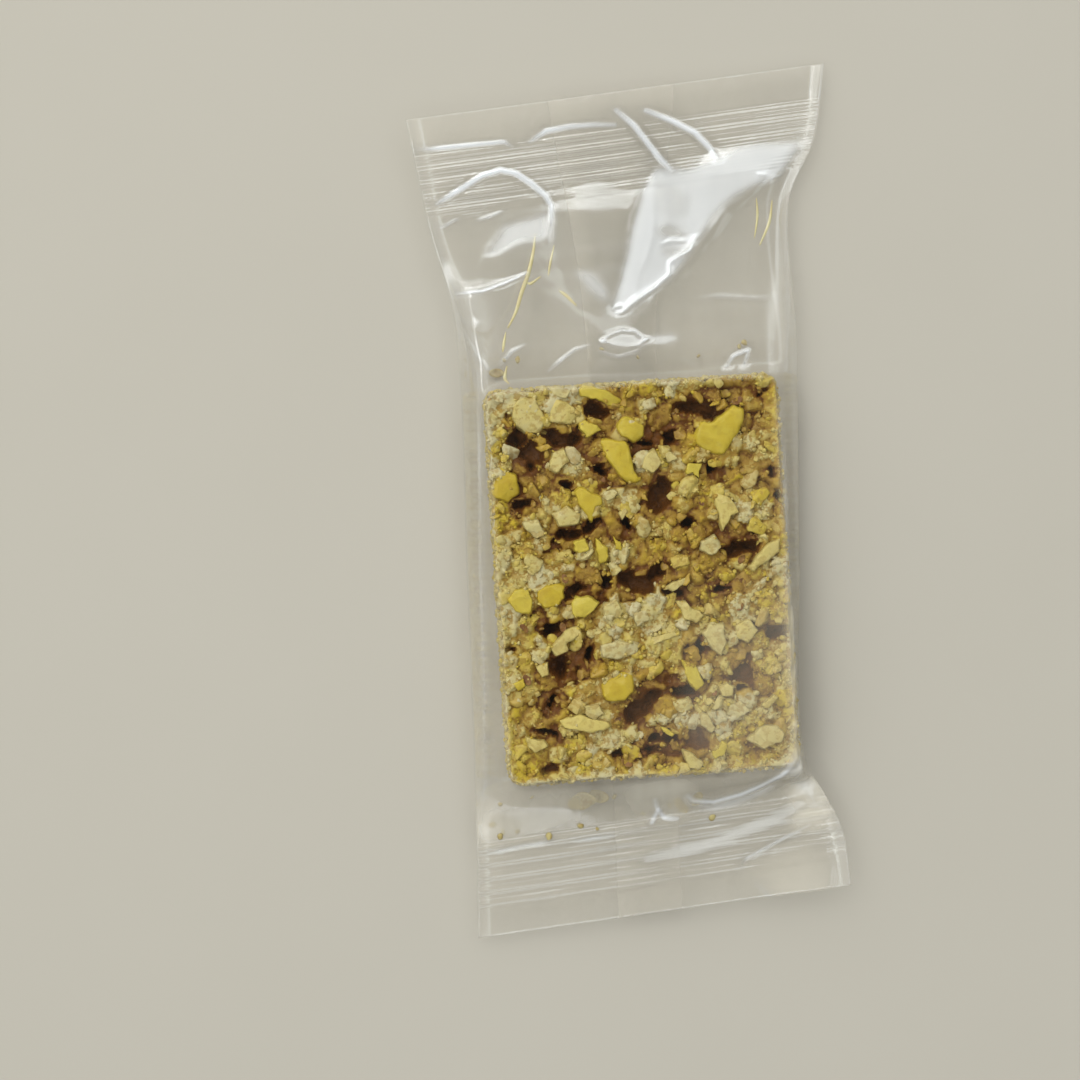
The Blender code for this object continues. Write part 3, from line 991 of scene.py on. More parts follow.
def skin_flake() -> Model:
    """Models one flake: a thin round sheet that is bent and wavy.

    Returns:
        The flake, 1 metre long.
    """
    deselect()
    bpy.ops.mesh.primitive_circle_add(vertices=14, radius=0.5, fill_type="TRIFAN")
    obj = bpy.context.object
    bpy.ops.object.mode_set(mode="EDIT")
    bpy.ops.mesh.select_all(action="SELECT")
    bpy.ops.mesh.subdivide(number_cuts=2)
    bpy.ops.transform.resize(value=(1.0, 0.6, 1.0))
    bpy.ops.object.mode_set(mode="OBJECT")
    points = corners_of(obj)
    points[:, 2] = 0.8 * points[:, 0] ** 2 + 0.9 * points[:, 1] ** 2
    points[:, 2] += 0.06 * np.sin(9 * points[:, 0] + 5 * points[:, 1])
    set_corners(obj, points)
    thicken(obj, 0.04)
    return taken(obj)


@dataclass
class Relief:
    """The height of what is built so far, in cells over the bar's face."""

    bar: BarForm
    cell: float = 0.45 * MM

    def __post_init__(self) -> None:
        """Starts with an empty map."""
        self.shape = (int(self.bar.width / self.cell) + 3, int(self.bar.length / self.cell) + 3)
        self.height = np.zeros(self.shape)

    def _cells(self, x: Array, y: Array) -> tuple[Array, Array]:
        """Returns the cells where places on the bar lie."""
        i = ((x + self.bar.width / 2) / self.cell + 1).astype(int)
        j = ((y + self.bar.length / 2) / self.cell + 1).astype(int)
        return np.clip(i, 0, self.shape[0] - 1), np.clip(j, 0, self.shape[1] - 1)

    def raise_to(self, points: Array) -> None:
        """Lifts the map to points, which are rows of x, y and z from the bar's middle."""
        i, j = self._cells(points[:, 0], points[:, 1])
        np.maximum.at(self.height, (i, j), points[:, 2])

    def at(self, x: float, y: float) -> float:
        """Returns the height at a place on the bar."""
        i, j = self._cells(np.array([x]), np.array([y]))
        return float(self.height[i[0], j[0]])


@dataclass
class Mosaic:
    """The pressed pieces of nut that the core's face is made of: a place belongs to the nearest one."""

    bar: BarForm
    step: float = 2.9 * MM
    lean: float = 0.16
    sway: float = 0.40 * MM
    sway_span: float = 1.5 * MM
    batch: int = 4000
    seed: int = 15

    def __post_init__(self) -> None:
        """Draws the pieces' places, sizes, leans and heights."""
        draw = np.random.default_rng(self.seed)
        sides = (np.arange(-half, half + self.step, self.step) for half in self.bar.half)
        x, y = (part.ravel() for part in np.meshgrid(*sides))
        self.spots = np.column_stack((x, y)) + draw.uniform(-0.5, 0.5, (x.size, 2)) * self.step
        self.reach = draw.uniform(0, 0.75, x.size) * self.step
        self.leans = draw.normal(0, self.lean, (x.size, 2))
        self.height, self.tone, self.honey = draw.uniform(-1, 1, (3, x.size))

    def at(self, x: Array, y: Array) -> tuple[Array, Array]:
        """Finds the piece at places on the bar.

        Args:
            x: places across the bar.
            y: places along it.

        Returns:
            Each place's piece, and how far inside that piece it lies.
        """
        u, v = (place + self.sway * soft_noise(x, y, self.sway_span, seed)
                for place, seed in ((x, 16), (y, 17)))
        number, inside = np.empty(x.size, int), np.empty(x.size)
        for first in range(0, x.size, self.batch):
            part = slice(first, first + self.batch)
            away = np.hypot(u[part, None] - self.spots[:, 0], v[part, None] - self.spots[:, 1])
            away -= self.reach
            number[part] = away.argmin(axis=1)
            nearest = np.partition(away, 1, axis=1)
            inside[part] = (nearest[:, 1] - nearest[:, 0]) / 2
        return number, inside


@dataclass(frozen=True)
class Scatter:
    """One kind of chopped piece on the face: how many there are and how they are cut and lie.

    Sizes are in metres. The room is how far under the face a piece's place has to be, margin, proud
    and apart are shares of its size, and bare says how much rarer it is on pale parts.
    """

    name: str
    finish: NutFinish
    count: int
    size: tuple[float, float]
    skew: float
    shapes: Shapes
    lean: float
    room: float
    margin: float
    proud: tuple[float, float]
    apart: float = 0.0
    bare: float = 0.0


SCATTERS = (
    Scatter("chopped_nuts", MIXED_NUT, 150, (2.6 * MM, 5.2 * MM), 1.2, (14, 6, 460, 0.6), 0.35, 0.40 * MM,
            0.15, (0.08, 0.30), 0.42),
    Scatter("small_nuts", MIXED_NUT, 420, (1.2 * MM, 2.4 * MM), 1.4, (10, 5, 120, 0.7), 0.9, 0.25 * MM,
            -0.2, (0.14, 0.36), 0.36, 1.0),
    Scatter("fine_crumbs", CRUMB, 1500, (0.5 * MM, 1.2 * MM), 1.6, (8, 4, 34, 0.65), 0.8, 0.1 * MM,
            0.0, (0.08, 0.34), 0.3, 1.0),
)


@dataclass
class Brittle:
    """The pressed bar: its core, the nuts that show on it, its crumbs and its flakes of skin."""

    bar: BarForm = BarForm()
    photo: PhotoScale = PhotoScale()
    core_drop: float = 1.25 * MM
    grid: float = 0.42 * MM
    side_count: int = 2600
    side_size: tuple[float, float] = (0.4 * MM, 1.9 * MM)
    side_shapes: Shapes = (8, 3, 26, 0.75)
    side_lean: float = 1.5
    nut_rise: float = 0.55
    nut_faces: int = 1500
    nut_spacing: float = 0.13 * MM
    gap_bulge: float = 2.4
    gap_rim: float = 0.4 * MM
    tries: int = 25
    flake_count: int = 26
    flake_size: tuple[float, float] = (1.2, 2.8)
    flake_lean: float = 0.7
    seed: int = 7

    def __post_init__(self) -> None:
        """Sets up the draws, the pressed pieces, the map of heights and the gaps."""
        self.draw = random.Random(self.seed)
        self.mosaic = Mosaic(self.bar)
        self.chopper = Chopper(self.draw)
        self.relief = Relief(self.bar)
        self.gaps = list(zip(self.photo.places([(gap.x, gap.y) for gap in GAPS]), GAPS))
        self.surface: list[Array] = []
        pale, honey = self.shade(*self.mosaic.spots.T)
        self.tone = np.clip(pale + 0.34 * self.mosaic.tone - 0.03, 0, 1)
        self.honey = np.clip(honey + 0.26 * self.mosaic.honey, 0, 1)

    def gap_depth(self, x: Array, y: Array, margin: float = 0.0) -> Array:
        """Finds how deep the gaps are at places on the bar.

        Args:
            x: places across the bar.
            y: places along it.
            margin: how far a gap reaches past its own outline.

        Returns:
            Depths in metres, 0 outside the gaps.
        """
        depth = np.zeros_like(x)
        x = x + 0.75 * MM * soft_noise(x, y, 2.4 * MM, 11) + 0.35 * MM * soft_noise(x, y, 0.9 * MM, 12)
        y = y + 0.75 * MM * soft_noise(x, y, 2.2 * MM, 13) + 0.35 * MM * soft_noise(x, y, 0.9 * MM, 14)
        for middle, gap in self.gaps:
            across, along = turned(x - middle[0], y - middle[1], math.radians(gap.turn))
            u, v = across / (gap.long * MM / 2 + margin), along / (gap.wide * MM / 2 + margin)
            inside = 1 - np.abs(u) ** self.gap_bulge - np.abs(v) ** self.gap_bulge
            depth = np.maximum(depth, gap.depth * MM * eased(inside * 1.6))
        return depth

    def shade(self, x: Array, y: Array) -> tuple[Array, Array]:
        """Reads how pale the face is and how much honey it has.

        Args:
            x: places across the bar.
            y: places along it.

        Returns:
            Paleness and honey, each from 0 to 1.
        """
        spots = self.photo.places([(patch.x, patch.y) for patch in PATCHES])
        total, pale, honey = (share * np.full_like(x, 0.15) for share in (1.0, 0.6, 0.25))
        for (a, b), patch in zip(spots, PATCHES):
            reach = patch.reach * self.photo.pixel * 0.6
            weight = np.exp(-((x - a) ** 2 + (y - b) ** 2) / (2 * reach * reach))
            total += weight
            pale += weight * patch.pale
            honey += weight * patch.honey
        rim = 1 - eased(np.minimum(self.bar.inside(x, y), self.bar.length / 2 - y) / (3.0 * MM))
        near = eased(self.gap_depth(x, y, 2.0 * MM) / (4.0 * MM))
        return pale / total + 0.15 * rim - 0.2 * near, honey / total * (1 - rim) + 0.55 * near

    def _tone(self, x: float, y: float) -> tuple[float, float]:
        """Returns a loose piece's tone and honey, drawn round those of the pressed piece under it."""
        number = self.mosaic.at(np.array([x]), np.array([y]))[0][0]
        tone, honey = (value[number] + self.draw.gauss(0, 0.12) for value in (self.tone, self.honey))
        return min(max(tone, 0.0), 1.0), min(max(honey, 0.0), 1.0)

    def core(self) -> bpy.types.Object:
        """Builds the core of crushed nut that fills the bar under the pieces that show.

        Returns:
            The core.
        """
        deselect()
        bpy.ops.mesh.primitive_cube_add(size=1.0)
        obj = bpy.context.object
        obj.name = obj.data.name = "pressed_nut_core"
        height = self.bar.face - self.bar.underside
        bpy.ops.object.mode_set(mode="EDIT")
        bpy.ops.transform.resize(value=(self.bar.width, self.bar.length, height))
        bpy.ops.transform.translate(value=(0, 0, self.bar.underside + height / 2))
        bpy.ops.object.mode_set(mode="OBJECT")
        evened(obj, self.grid)
        points = corners_of(obj)
        x, y = points[:, 0], points[:, 1]
        number, inside = self.mosaic.at(x, y)
        near = eased(self.gap_depth(x, y, 1.3 * MM) / (4.0 * MM))
        tone = self.tone[number] - 0.15 * near + 0.12 * soft_noise(x, y, 1.7 * MM, 3)
        honey = self.honey[number] + 0.5 * near + 0.30 * (1 - eased(inside / (0.6 * MM)))
        points = self._rough(points, number, inside)
        set_corners(obj, points)
        self.relief.raise_to(points)
        # sunk drives the finish's painted shade: deeper points are painted browner and darker
        keep(obj, tone=tone, honey=honey, sunk=self.bar.buried(points) * 1.15)
        set_corners(obj, self.bar.to_packet(points))
        self.surface.append(corners_of(obj))
        obj.data.shade_smooth()
        obj.data.materials.append(CORE.material())
        return obj

    def _rough(self, points: Array, number: Array, within_piece: Array) -> Array:
        """Roughens the core's block.

        Args:
            points: the block's vertices.
            number: each vertex's pressed piece.
            within_piece: how far inside its piece each vertex lies.

        Returns:
            The vertices with rounded corners, pressed pieces, crags and gaps.
        """
        rough = points.copy()
        x, y, z = points.T
        inside = self.bar.inside(x, y)
        squeeze = np.clip(-inside, 0, None) / np.maximum(np.hypot(x, y), 1e-6)
        rough[:, 0] -= x * squeeze
        rough[:, 1] -= y * squeeze
        off = (np.column_stack((x, y)) - self.mosaic.spots[number]) * self.mosaic.leans[number]
        lumps = 0.45 * self.mosaic.height[number] + off.sum(axis=1) / MM
        lumps -= (1.0 - 0.45 * self.tone[number]) * (1 - eased(within_piece / (0.75 * MM)))
        grains = 0.36 * soft_noise(x, y, 1.3 * MM, 22) + 0.42 * soft_noise(x + z, y - z, 0.75 * MM, 23)
        lumps += grains * (1.2 - 0.95 * self.tone[number])
        top = eased((z - 0.6 * self.bar.face) / (0.3 * self.bar.face))
        rim = eased(inside / (3.2 * MM))
        drop = self.core_drop * (0.35 + 0.65 * rim) * (1.3 - 0.95 * self.tone[number])
        drop = np.maximum(drop - 0.75 * MM * lumps * (0.25 + 0.75 * rim), -0.1 * MM)
        drop += 0.7 * MM * np.clip(1 - inside / (1.2 * MM), 0, 1) ** 2
        rough[:, 2] -= top * (drop + self.gap_depth(x, y))
        around = np.column_stack((x / self.bar.width, y / self.bar.length))
        outward = np.where(np.abs(around).argmax(axis=1)[:, None] == np.array((0, 1)), np.sign(around), 0)
        side = (1 - eased(inside / (1.0 * MM))) * eased(z / (1.5 * MM))
        along = np.where(np.abs(around[:, 0]) > np.abs(around[:, 1]), y, x)
        crags = soft_noise(along, z, 2.2 * MM, 31) + 0.7 * soft_noise(along, z, 0.9 * MM, 32)
        push = side * (0.45 * MM * crags - 0.55 * MM)
        rough[:, :2] += outward * push[:, None]
        return rough

    def _note(self, points: Array) -> None:
        """Lifts the map of heights to a new piece."""
        self.relief.raise_to(points)
        self.surface.append(self.bar.to_packet(points))

    def _rounded(self, outline: Outline) -> Array:
        """Returns a nut piece's outline on the bar, with its corners cut and its edge roughened."""
        places = self.photo.places(outline.pixels)
        for share in (0.5, 0.5, 0.2):
            ahead = np.roll(places, -1, axis=0)
            pair = (places, 0.5 * (places + ahead)) if share == 0.5 else (
                places + share * (ahead - places), ahead + share * (places - ahead))
            places = np.column_stack(pair).reshape(-1, 2)
        for span, wide in ((1.7 * MM, 0.34 * MM), (0.7 * MM, 0.16 * MM)):
            places += wide * np.column_stack([soft_noise(*places.T, span, seed) for seed in (43, 44)])
        return places

    def shaped_nut(self, outline: Outline) -> Model:
        """Models one nut piece from its outline, with rounded edges and broken faces.

        Args:
            outline: the piece as it shows.

        Returns:
            The piece, where it lies on the bar.
        """
        places = self._rounded(outline)
        middle = places.mean(axis=0)
        reach = np.ptp(places, axis=0).min()
        thick = max(0.6 * reach, 1.6 * MM)
        deselect()
        bpy.ops.mesh.primitive_circle_add(vertices=len(places), radius=1.0, fill_type="NGON")
        obj = bpy.context.object
        set_corners(obj, np.column_stack((places - middle, np.zeros(len(places)))))
        bpy.ops.object.mode_set(mode="EDIT")
        bpy.ops.mesh.select_all(action="SELECT")
        bpy.ops.mesh.extrude_region_move(TRANSFORM_OT_translate={"value": (0, 0, thick)})
        bpy.ops.transform.resize(value=(0.84, 0.84, 1.0))
        bpy.ops.mesh.select_all(action="SELECT")
        bpy.ops.mesh.normals_make_consistent(inside=False)
        for _ in range(3):
            lean = Vector((self.draw.uniform(-1, 1), self.draw.uniform(-1, 1), 0)).normalized()
            way = (lean * self.draw.uniform(0.12, 0.36) + Vector((0, 0, 1))).normalized()
            place = Vector((0, 0, thick)) + lean * reach * self.draw.uniform(0.12, 0.28)
            bpy.ops.mesh.select_all(action="SELECT")
            bpy.ops.mesh.bisect(plane_co=place, plane_no=way, use_fill=True, clear_outer=True,
                                threshold=0.0001 * MM)
        bpy.ops.object.mode_set(mode="OBJECT")
        evened(obj, max(reach / 26, self.nut_spacing), 6)
        thin_out(obj, self.nut_faces)
        model = taken(obj)
        points = model.corners
        x, y = points[:, 0] + middle[0], points[:, 1] + middle[1]
        bumps = soft_noise(x, y, 1.5 * MM, 41) + 0.6 * soft_noise(x, y, 0.6 * MM, 42)
        points[:, 2] += 0.20 * MM * bumps * eased(points[:, 2] / thick)
        top = self.bar.face + self.nut_rise * outline.rise * MM
        points[:, 2] += top - points[:, 2].max()
        points[:, :2] += middle
        return Model(points, model.triangles)

    def face_nuts(self) -> list[bpy.types.Object]:
        """Builds the larger nut pieces that show first, one piece for each kind.

        Returns:
            The yellow, the cream and the pale nuts.
        """
        finishes = {Nut.YELLOW: YELLOW_NUT, Nut.CREAM: CREAM_NUT, Nut.PALE: MIXED_NUT}
        tones = {Nut.YELLOW: (0.0, 1.0), Nut.CREAM: (0.0, 1.0), Nut.PALE: (0.45, 0.9)}
        made = []
        for kind in Nut:
            heap = Heap()
            low, high = tones[kind]
            for outline in OUTLINES[kind]:
                model = self.shaped_nut(outline)
                heap.put(model, model.corners, low + (high - low) * outline.tone, 0.0)
                self._note(model.corners)
            made.append(heap.build(f"{kind.value}_nuts", self.bar, finishes[kind].material()))
        return made

    def _spot(self, margin: float) -> tuple[float, float]:
        """Returns a place on the face drawn at random, this far inside its edge."""
        across, along = (self.draw.uniform(margin - half, half - margin) for half in self.bar.half)
        return across, along

    def _in_gap(self, x: float, y: float, margin: float) -> bool:
        """Tells whether a place on the face is over a gap."""
        return float(self.gap_depth(np.array([x]), np.array([y]), margin)[0]) > self.gap_rim

    def scattered(self, kind: Scatter) -> bpy.types.Object:
        """Builds chopped pieces of one kind, which lie apart where the face has room for them.

        Args:
            kind: the pieces' number, sizes and way of lying.

        Returns:
            The piece that they make together.
        """
        models = self.chopper.chunks(kind.shapes)
        heap = Heap()
        placed: list[tuple[float, float, float]] = []
        for _ in range(self.tries * kind.count):
            if len(placed) == kind.count:
                break
            size = kind.size[0] + self.draw.random() ** kind.skew * np.ptp(kind.size)
            x, y = self._spot(0.42 * size)
            under = self.relief.at(x, y)
            full = under > self.bar.face - kind.room or under < self.bar.face / 3
            if full or self._in_gap(x, y, kind.margin * size):
                continue
            if any(math.hypot(x - a, y - b) < kind.apart * (size + other) for a, b, other in placed):
                continue
            tone, honey = self._tone(x, y)
            if self.draw.random() < max(0.7 * honey, kind.bare * (tone - 0.4)):
                continue
            model = self.draw.choice(models)
            points = tumbled(model, size, self.draw, kind.lean)
            top = min(under + self.draw.uniform(*kind.proud) * size, self.bar.face + 0.1 * MM)
            points += np.array((x, y, top - points[:, 2].max()))
            placed.append((x, y, size))
            heap.put(model, points, tone, honey)
            self._note(points)
        return heap.build(kind.name, self.bar, kind.finish.material())

    def side_crumbs(self) -> bpy.types.Object:
        """Builds the crumbs pressed into the bar's four sides.

        Returns:
            The piece.
        """
        models = self.chopper.chunks(self.side_shapes)
        heap = Heap()
        half_width, half_length = self.bar.half
        inner = np.array(self.bar.half) - self.bar.corner
        for _ in range(self.side_count):
            size = self.draw.uniform(*self.side_size)
            z = self.draw.uniform(0.6 * size + 0.2 * MM, self.bar.face - 0.8 * size - 0.5 * MM)
            sunk = self.draw.uniform(0.15, 0.65) * size + 0.1 * MM
            across, along = self._spot(0.0)
            if self.draw.random() < half_width / (half_width + half_length):
                along = math.copysign(half_length, along)
            else:
                across = math.copysign(half_width, across)
            edge = np.array((across, along))
            centre = np.clip(edge, -inner, inner)
            out = (edge - centre) / np.hypot(*(edge - centre))
            place = centre + out * (self.bar.corner - sunk)
            model = self.draw.choice(models)
            points = tumbled(model, size, self.draw, self.side_lean) + np.array((*place, z))
            heap.put(model, points, self.draw.uniform(0.2, 0.85), self.draw.uniform(0, 0.35))
        return heap.build("side_crumbs", self.bar, CRUMB.material())

    def flakes(self) -> bpy.types.Object:
        """Builds the curled flakes of brown skin between the nuts.

        Returns:
            The piece.
        """
        model = skin_flake()
        heap = Heap()
        for _ in range(self.flake_count):
            size = self.draw.uniform(*self.flake_size) * MM
            x, y = self._spot(size)
            while self.relief.at(x, y) > self.bar.face - self.gap_rim:
                x, y = self._spot(size)
            points = tumbled(model, size, self.draw, self.flake_lean)
            points += np.array((x, y, max(self.relief.at(x, y), self.bar.face / 2) + 0.05 * MM))
            heap.put(model, points, self.draw.random(), 0.0)
        return heap.build("skin_flakes", self.bar, SKIN.material())


# The film


@dataclass(frozen=True)
class Fold:
    """A fold of the film: a crest, or a valley where it is negative, with a slope to each side.

    The crest's points are pixels of the photograph and heights in millimetres. The slopes' widths,
    in millimetres, are to the left and the right of it, walking along.
    """

    crest: Points
    left: float = 0.5
    right: float = 0.5

    def height(self, x: Array, y: Array, photo: PhotoScale) -> Array:
        """Measures the fold.

        Args:
            x: places across the packet, in metres.
            y: places along it.
            photo: how the photograph lies on the packet.

        Returns:
            How far the fold lifts the film at each place.
        """
        nearest = np.full(x.shape, np.inf)
        lift = np.zeros(x.shape)
        side = np.zeros(x.shape)
        knots = np.column_stack((photo.places(self.crest), np.array(self.crest)[:, 2] * MM))
        for start, end in zip(knots[:-1], knots[1:]):
            run = end[:2] - start[:2]
            share = np.clip(((x - start[0]) * run[0] + (y - start[1]) * run[1]) / (run @ run), 0, 1)
            off_x, off_y = x - start[0] - share * run[0], y - start[1] - share * run[1]
            away = np.hypot(off_x, off_y)
            closer = away < nearest
            nearest = np.where(closer, away, nearest)
            lift = np.where(closer, start[2] + share * (end[2] - start[2]), lift)
            side = np.where(closer, run[0] * off_y - run[1] * off_x, side)
        width = np.where(side > 0, self.left, self.right) * MM
        return lift * np.clip(1 - nearest / width, 0, 1)


def within(pixels: Points, x: Array, y: Array, photo: PhotoScale) -> Array:
    """Tells which places are in an outline of the photograph.

    Args:
        pixels: the outline's corners.
        x: places across the packet.
        y: places along it.
        photo: how the photograph lies on the packet.

    Returns:
        1 inside the outline and 0 outside it.
    """
    corners = photo.places(pixels)
    inside = np.zeros(x.shape, bool)
    for (x0, y0), (x1, y1) in zip(corners, np.roll(corners, -1, axis=0)):
        crosses = (y0 > y) != (y1 > y)
        inside ^= crosses & (x < x0 + (y - y0) * (x1 - x0) / (y1 - y0 if y1 != y0 else 1e-9))
    return inside.astype(float)


@dataclass(frozen=True)
class Facet:
    """A flat face between folds: its outline in the photograph and its slopes across and along."""

    pixels: Points
    across: float
    along: float


@dataclass(frozen=True)
class Veil:
    """A painted part of the film: its outline in the photograph and how white it is; milky haze, partly
    painted light, or painted glare.
    """

    pixels: Points
    white: float


# Milky haze of the film; beside and below the bar it is raised as painted light that lightens the bar's
# shadow seen through the film
HAZE_AND_PAINTED_LIGHT = (
    Veil(((747, 880), (775, 862), (822, 846), (840, 905), (790, 912)), 0.10),
    Veil(((622, 856), (690, 846), (690, 900), (640, 918), (622, 915)), 0.06),
    Veil(((620, 790), (690, 778), (700, 812), (690, 826), (640, 826)), 0.22),
    Veil(((790, 756), (822, 744), (840, 830), (800, 838)), 0.34),
    Veil(((785, 400), (822, 380), (822, 760), (798, 760)), 0.52),
    Veil(((783, 200), (818, 170), (822, 400), (790, 400)), 0.26),
    Veil(((478, 794), (800, 768), (816, 798), (620, 832), (478, 850)), 0.26),
    Veil(((560, 112), (640, 104), (640, 210), (600, 216), (556, 205)), 0.08),
    Veil(((670, 640), (790, 600), (800, 770), (700, 780)), 0.05),
)
# Painted glare: white outlines that stand in for the bright reflections of the creased film; negative
# values take glare away
PAINTED_GLARES = (
    Veil(((659, 166), (646, 188), (637, 218), (630, 249), (622, 284), (613, 309), (619, 314),
        (632, 305), (662, 283), (680, 266), (697, 240), (706, 228), (712, 216), (721, 206), (735, 194),
        (753, 184), (773, 177), (787, 166), (815, 140), (777, 142), (747, 144), (720, 158), (688, 168)),
        0.46),
    Veil(((657, 226), (668, 221), (682, 228), (692, 237), (680, 238), (664, 236)), -0.34),
    Veil(((661, 246), (676, 246), (690, 242), (690, 251), (676, 257), (664, 254)), -0.26),
    Veil(((484, 256), (505, 224), (534, 216), (547, 210), (547, 238), (519, 242), (497, 254)), 0.26),
    Veil(((606, 340), (620, 332), (640, 333), (650, 340), (635, 347), (615, 347)), 0.16),
    Veil(((650, 336), (676, 334), (676, 342), (652, 342)), 0.25),
    Veil(((576, 270), (592, 272), (606, 286), (610, 302), (598, 296), (586, 284)), 0.30),
    Veil(((656, 178), (676, 182), (690, 196), (688, 214), (672, 218), (656, 212)), -0.10),
    Veil(((690, 806), (717, 808), (745, 800), (784, 779), (797, 768), (770, 796), (745, 808),
        (717, 816)), 0.52),
    Veil(((790, 764), (804, 752), (826, 750), (828, 790), (806, 796), (792, 780)), 0.30),
)


PACKET_PHOTO = PhotoScale(middle=(632, 504), turn=math.radians(2.0))
FACETS = (
    Facet(((660, 224), (671, 221), (682, 231), (690, 240), (677, 243), (664, 237)), 0.06, -0.12),
    Facet(((655, 164), (646, 190), (634, 220), (630, 257), (622, 285), (613, 309), (622, 309),
        (635, 298), (641, 276), (652, 242), (655, 212), (653, 190), (662, 168)), 0.27, -0.12),
    Facet(((677, 177), (700, 168), (712, 169), (711, 212), (699, 242), (688, 236), (684, 218),
        (693, 200), (690, 188)), 0.26, -0.14),
    Facet(((700, 160), (717, 146), (749, 142), (790, 141), (817, 134), (801, 148), (780, 155),
        (756, 168), (722, 172), (705, 172)), 0.14, -0.25),
    Facet(((655, 168), (682, 172), (690, 200), (684, 232), (696, 243), (688, 254), (672, 266),
        (672, 275), (656, 288), (640, 297), (644, 276), (654, 242), (657, 212)), 0.21, -0.125),
    Facet(((709, 172), (756, 168), (775, 160), (750, 195), (725, 210), (706, 240), (700, 243)),
        0.20, -0.12),
    Facet(((484, 257), (508, 223), (534, 219), (549, 212), (546, 236), (519, 240), (497, 254)),
        -0.03, -0.245),
    Facet(((478, 292), (490, 281), (515, 277), (526, 272), (508, 288)), 0.06, -0.28),
    Facet(((462, 319), (474, 316), (484, 322), (470, 327)), 0.05, -0.26),
    Facet(((604, 341), (620, 332), (640, 333), (650, 340), (635, 347), (615, 347)), 0.0, -0.235),
    Facet(((648, 336), (660, 335), (678, 335), (678, 341), (655, 342)), 0.05, -0.26),
    Facet(((578, 268), (596, 272), (604, 296), (592, 288)), 0.10, -0.21),
    Facet(((570, 185), (600, 178), (640, 186), (632, 206), (600, 211), (575, 205)), 0.06, -0.22),
    Facet(((556, 210), (628, 208), (624, 262), (617, 295), (600, 318), (575, 305), (557, 250)),
        0.0, -0.13),
    Facet(((712, 248), (765, 185), (783, 190), (790, 362), (690, 364), (640, 320), (668, 288),
        (700, 262)), 0.0, -0.14),
    Facet(((470, 300), (530, 280), (575, 308), (600, 326), (596, 366), (490, 372), (476, 340)),
        0.0, -0.13),
    Facet(((440, 222), (482, 212), (530, 190), (542, 206), (505, 218), (478, 262), (476, 282),
        (445, 285)), 0.0, -0.12),
    Facet(((717, 846), (690, 850), (655, 860), (640, 872), (690, 865), (735, 852), (790, 828),
        (812, 812), (812, 800), (770, 822)), 0.02, 0.22),
    Facet(((750, 878), (800, 856), (830, 848), (835, 890), (812, 905), (775, 902)), 0.16, -0.12),
)
TOP_FOLDS = (
    Fold(((617, 108, 0.14), (635, 123, 0.24), (657, 150, 0.26), (674, 169, 0.18)), 0.8, 0.8),
    Fold(((647, 108, 0.16), (675, 119, 0.24), (697, 130, 0.26), (712, 145, 0.26), (721, 158, 0.10)),
        0.8, 0.8),
    Fold(((697, 236, 0.10), (691, 249, 0.16), (671, 262, 0.16), (672, 273, 0.16), (656, 287, 0.16),
        (637, 300, 0.14), (622, 312, 0.0)), 0.55, 0.55),
    Fold(((613, 309, 0.10), (620, 305, 0.13), (628, 309, 0.10), (620, 313, 0.12), (613, 309, 0.10)),
        0.4, 0.4),
    Fold(((661, 244, 0.0), (672, 240, 0.14), (685, 240, 0.10))),
    Fold(((602, 341, 0.14), (611, 334, 0.08), (622, 330, 0.12), (636, 331, 0.14), (645, 339, 0.10)),
        0.45, 0.6),
    Fold(((602, 341, 0.14), (612, 344, 0.08), (626, 347, 0.04), (639, 345, 0.10), (648, 338, 0.14)),
        0.45, 0.45),
    Fold(((600, 352, 0.05), (618, 357, 0.09), (636, 352, 0.08), (646, 344, 0.05)), 0.45, 0.45),
    Fold(((727, 367, 0.10), (734, 356, 0.15), (749, 350, 0.15), (744, 367, 0.08))),
    Fold(((762, 172, 0.08), (774, 176, 0.14), (785, 172, 0.12), (787, 164, 0.06))),
    Fold(((412, 149, 0.14), (430, 149, 0.22), (467, 145, 0.22), (504, 141, 0.18), (513, 146, 0.05)),
        0.7, 0.7),
    Fold(((531, 140, 0.10), (546, 130, 0.22), (570, 125, 0.20), (596, 123, 0.16), (616, 123, 0.12)),
        0.8, 0.8),
    Fold(((437, 203, 0.16), (458, 190, 0.24), (482, 175, 0.27), (501, 169, 0.27), (516, 172, 0.27),
        (532, 182, 0.27), (546, 194, 0.26), (552, 204, 0.22), (552, 220, 0.14), (549, 240, 0.05)),
        0.8, 0.8),
    Fold(((430, 292, 0.12), (449, 294, 0.17), (482, 291, 0.17), (504, 283, 0.17), (527, 273, 0.08)),
        0.6, 0.6),
    Fold(((434, 224, 0.10), (443, 227, 0.13), (452, 221, 0.12), (459, 218, 0.06))),
    Fold(((479, 219, 0.08), (490, 216, 0.12), (501, 211, 0.08))),
    Fold(((436, 229, 0.06), (441, 252, 0.12), (447, 274, 0.12), (455, 290, 0.06))),
    Fold(((454, 313, 0.06), (456, 340, 0.13), (458, 364, 0.06))),
    Fold(((464, 330, 0.08), (472, 345, 0.14), (486, 369, 0.06))),
    Fold(((500, 366, 0.05), (512, 352, 0.12), (524, 346, 0.05))),
    Fold(((548, 372, 0.05), (562, 360, 0.13), (575, 350, 0.10), (590, 346, 0.04))),
    Fold(((690, 300, 0.0), (720, 296, 0.05), (760, 298, 0.05), (800, 295, 0.0)), 0.7, 0.7),
)
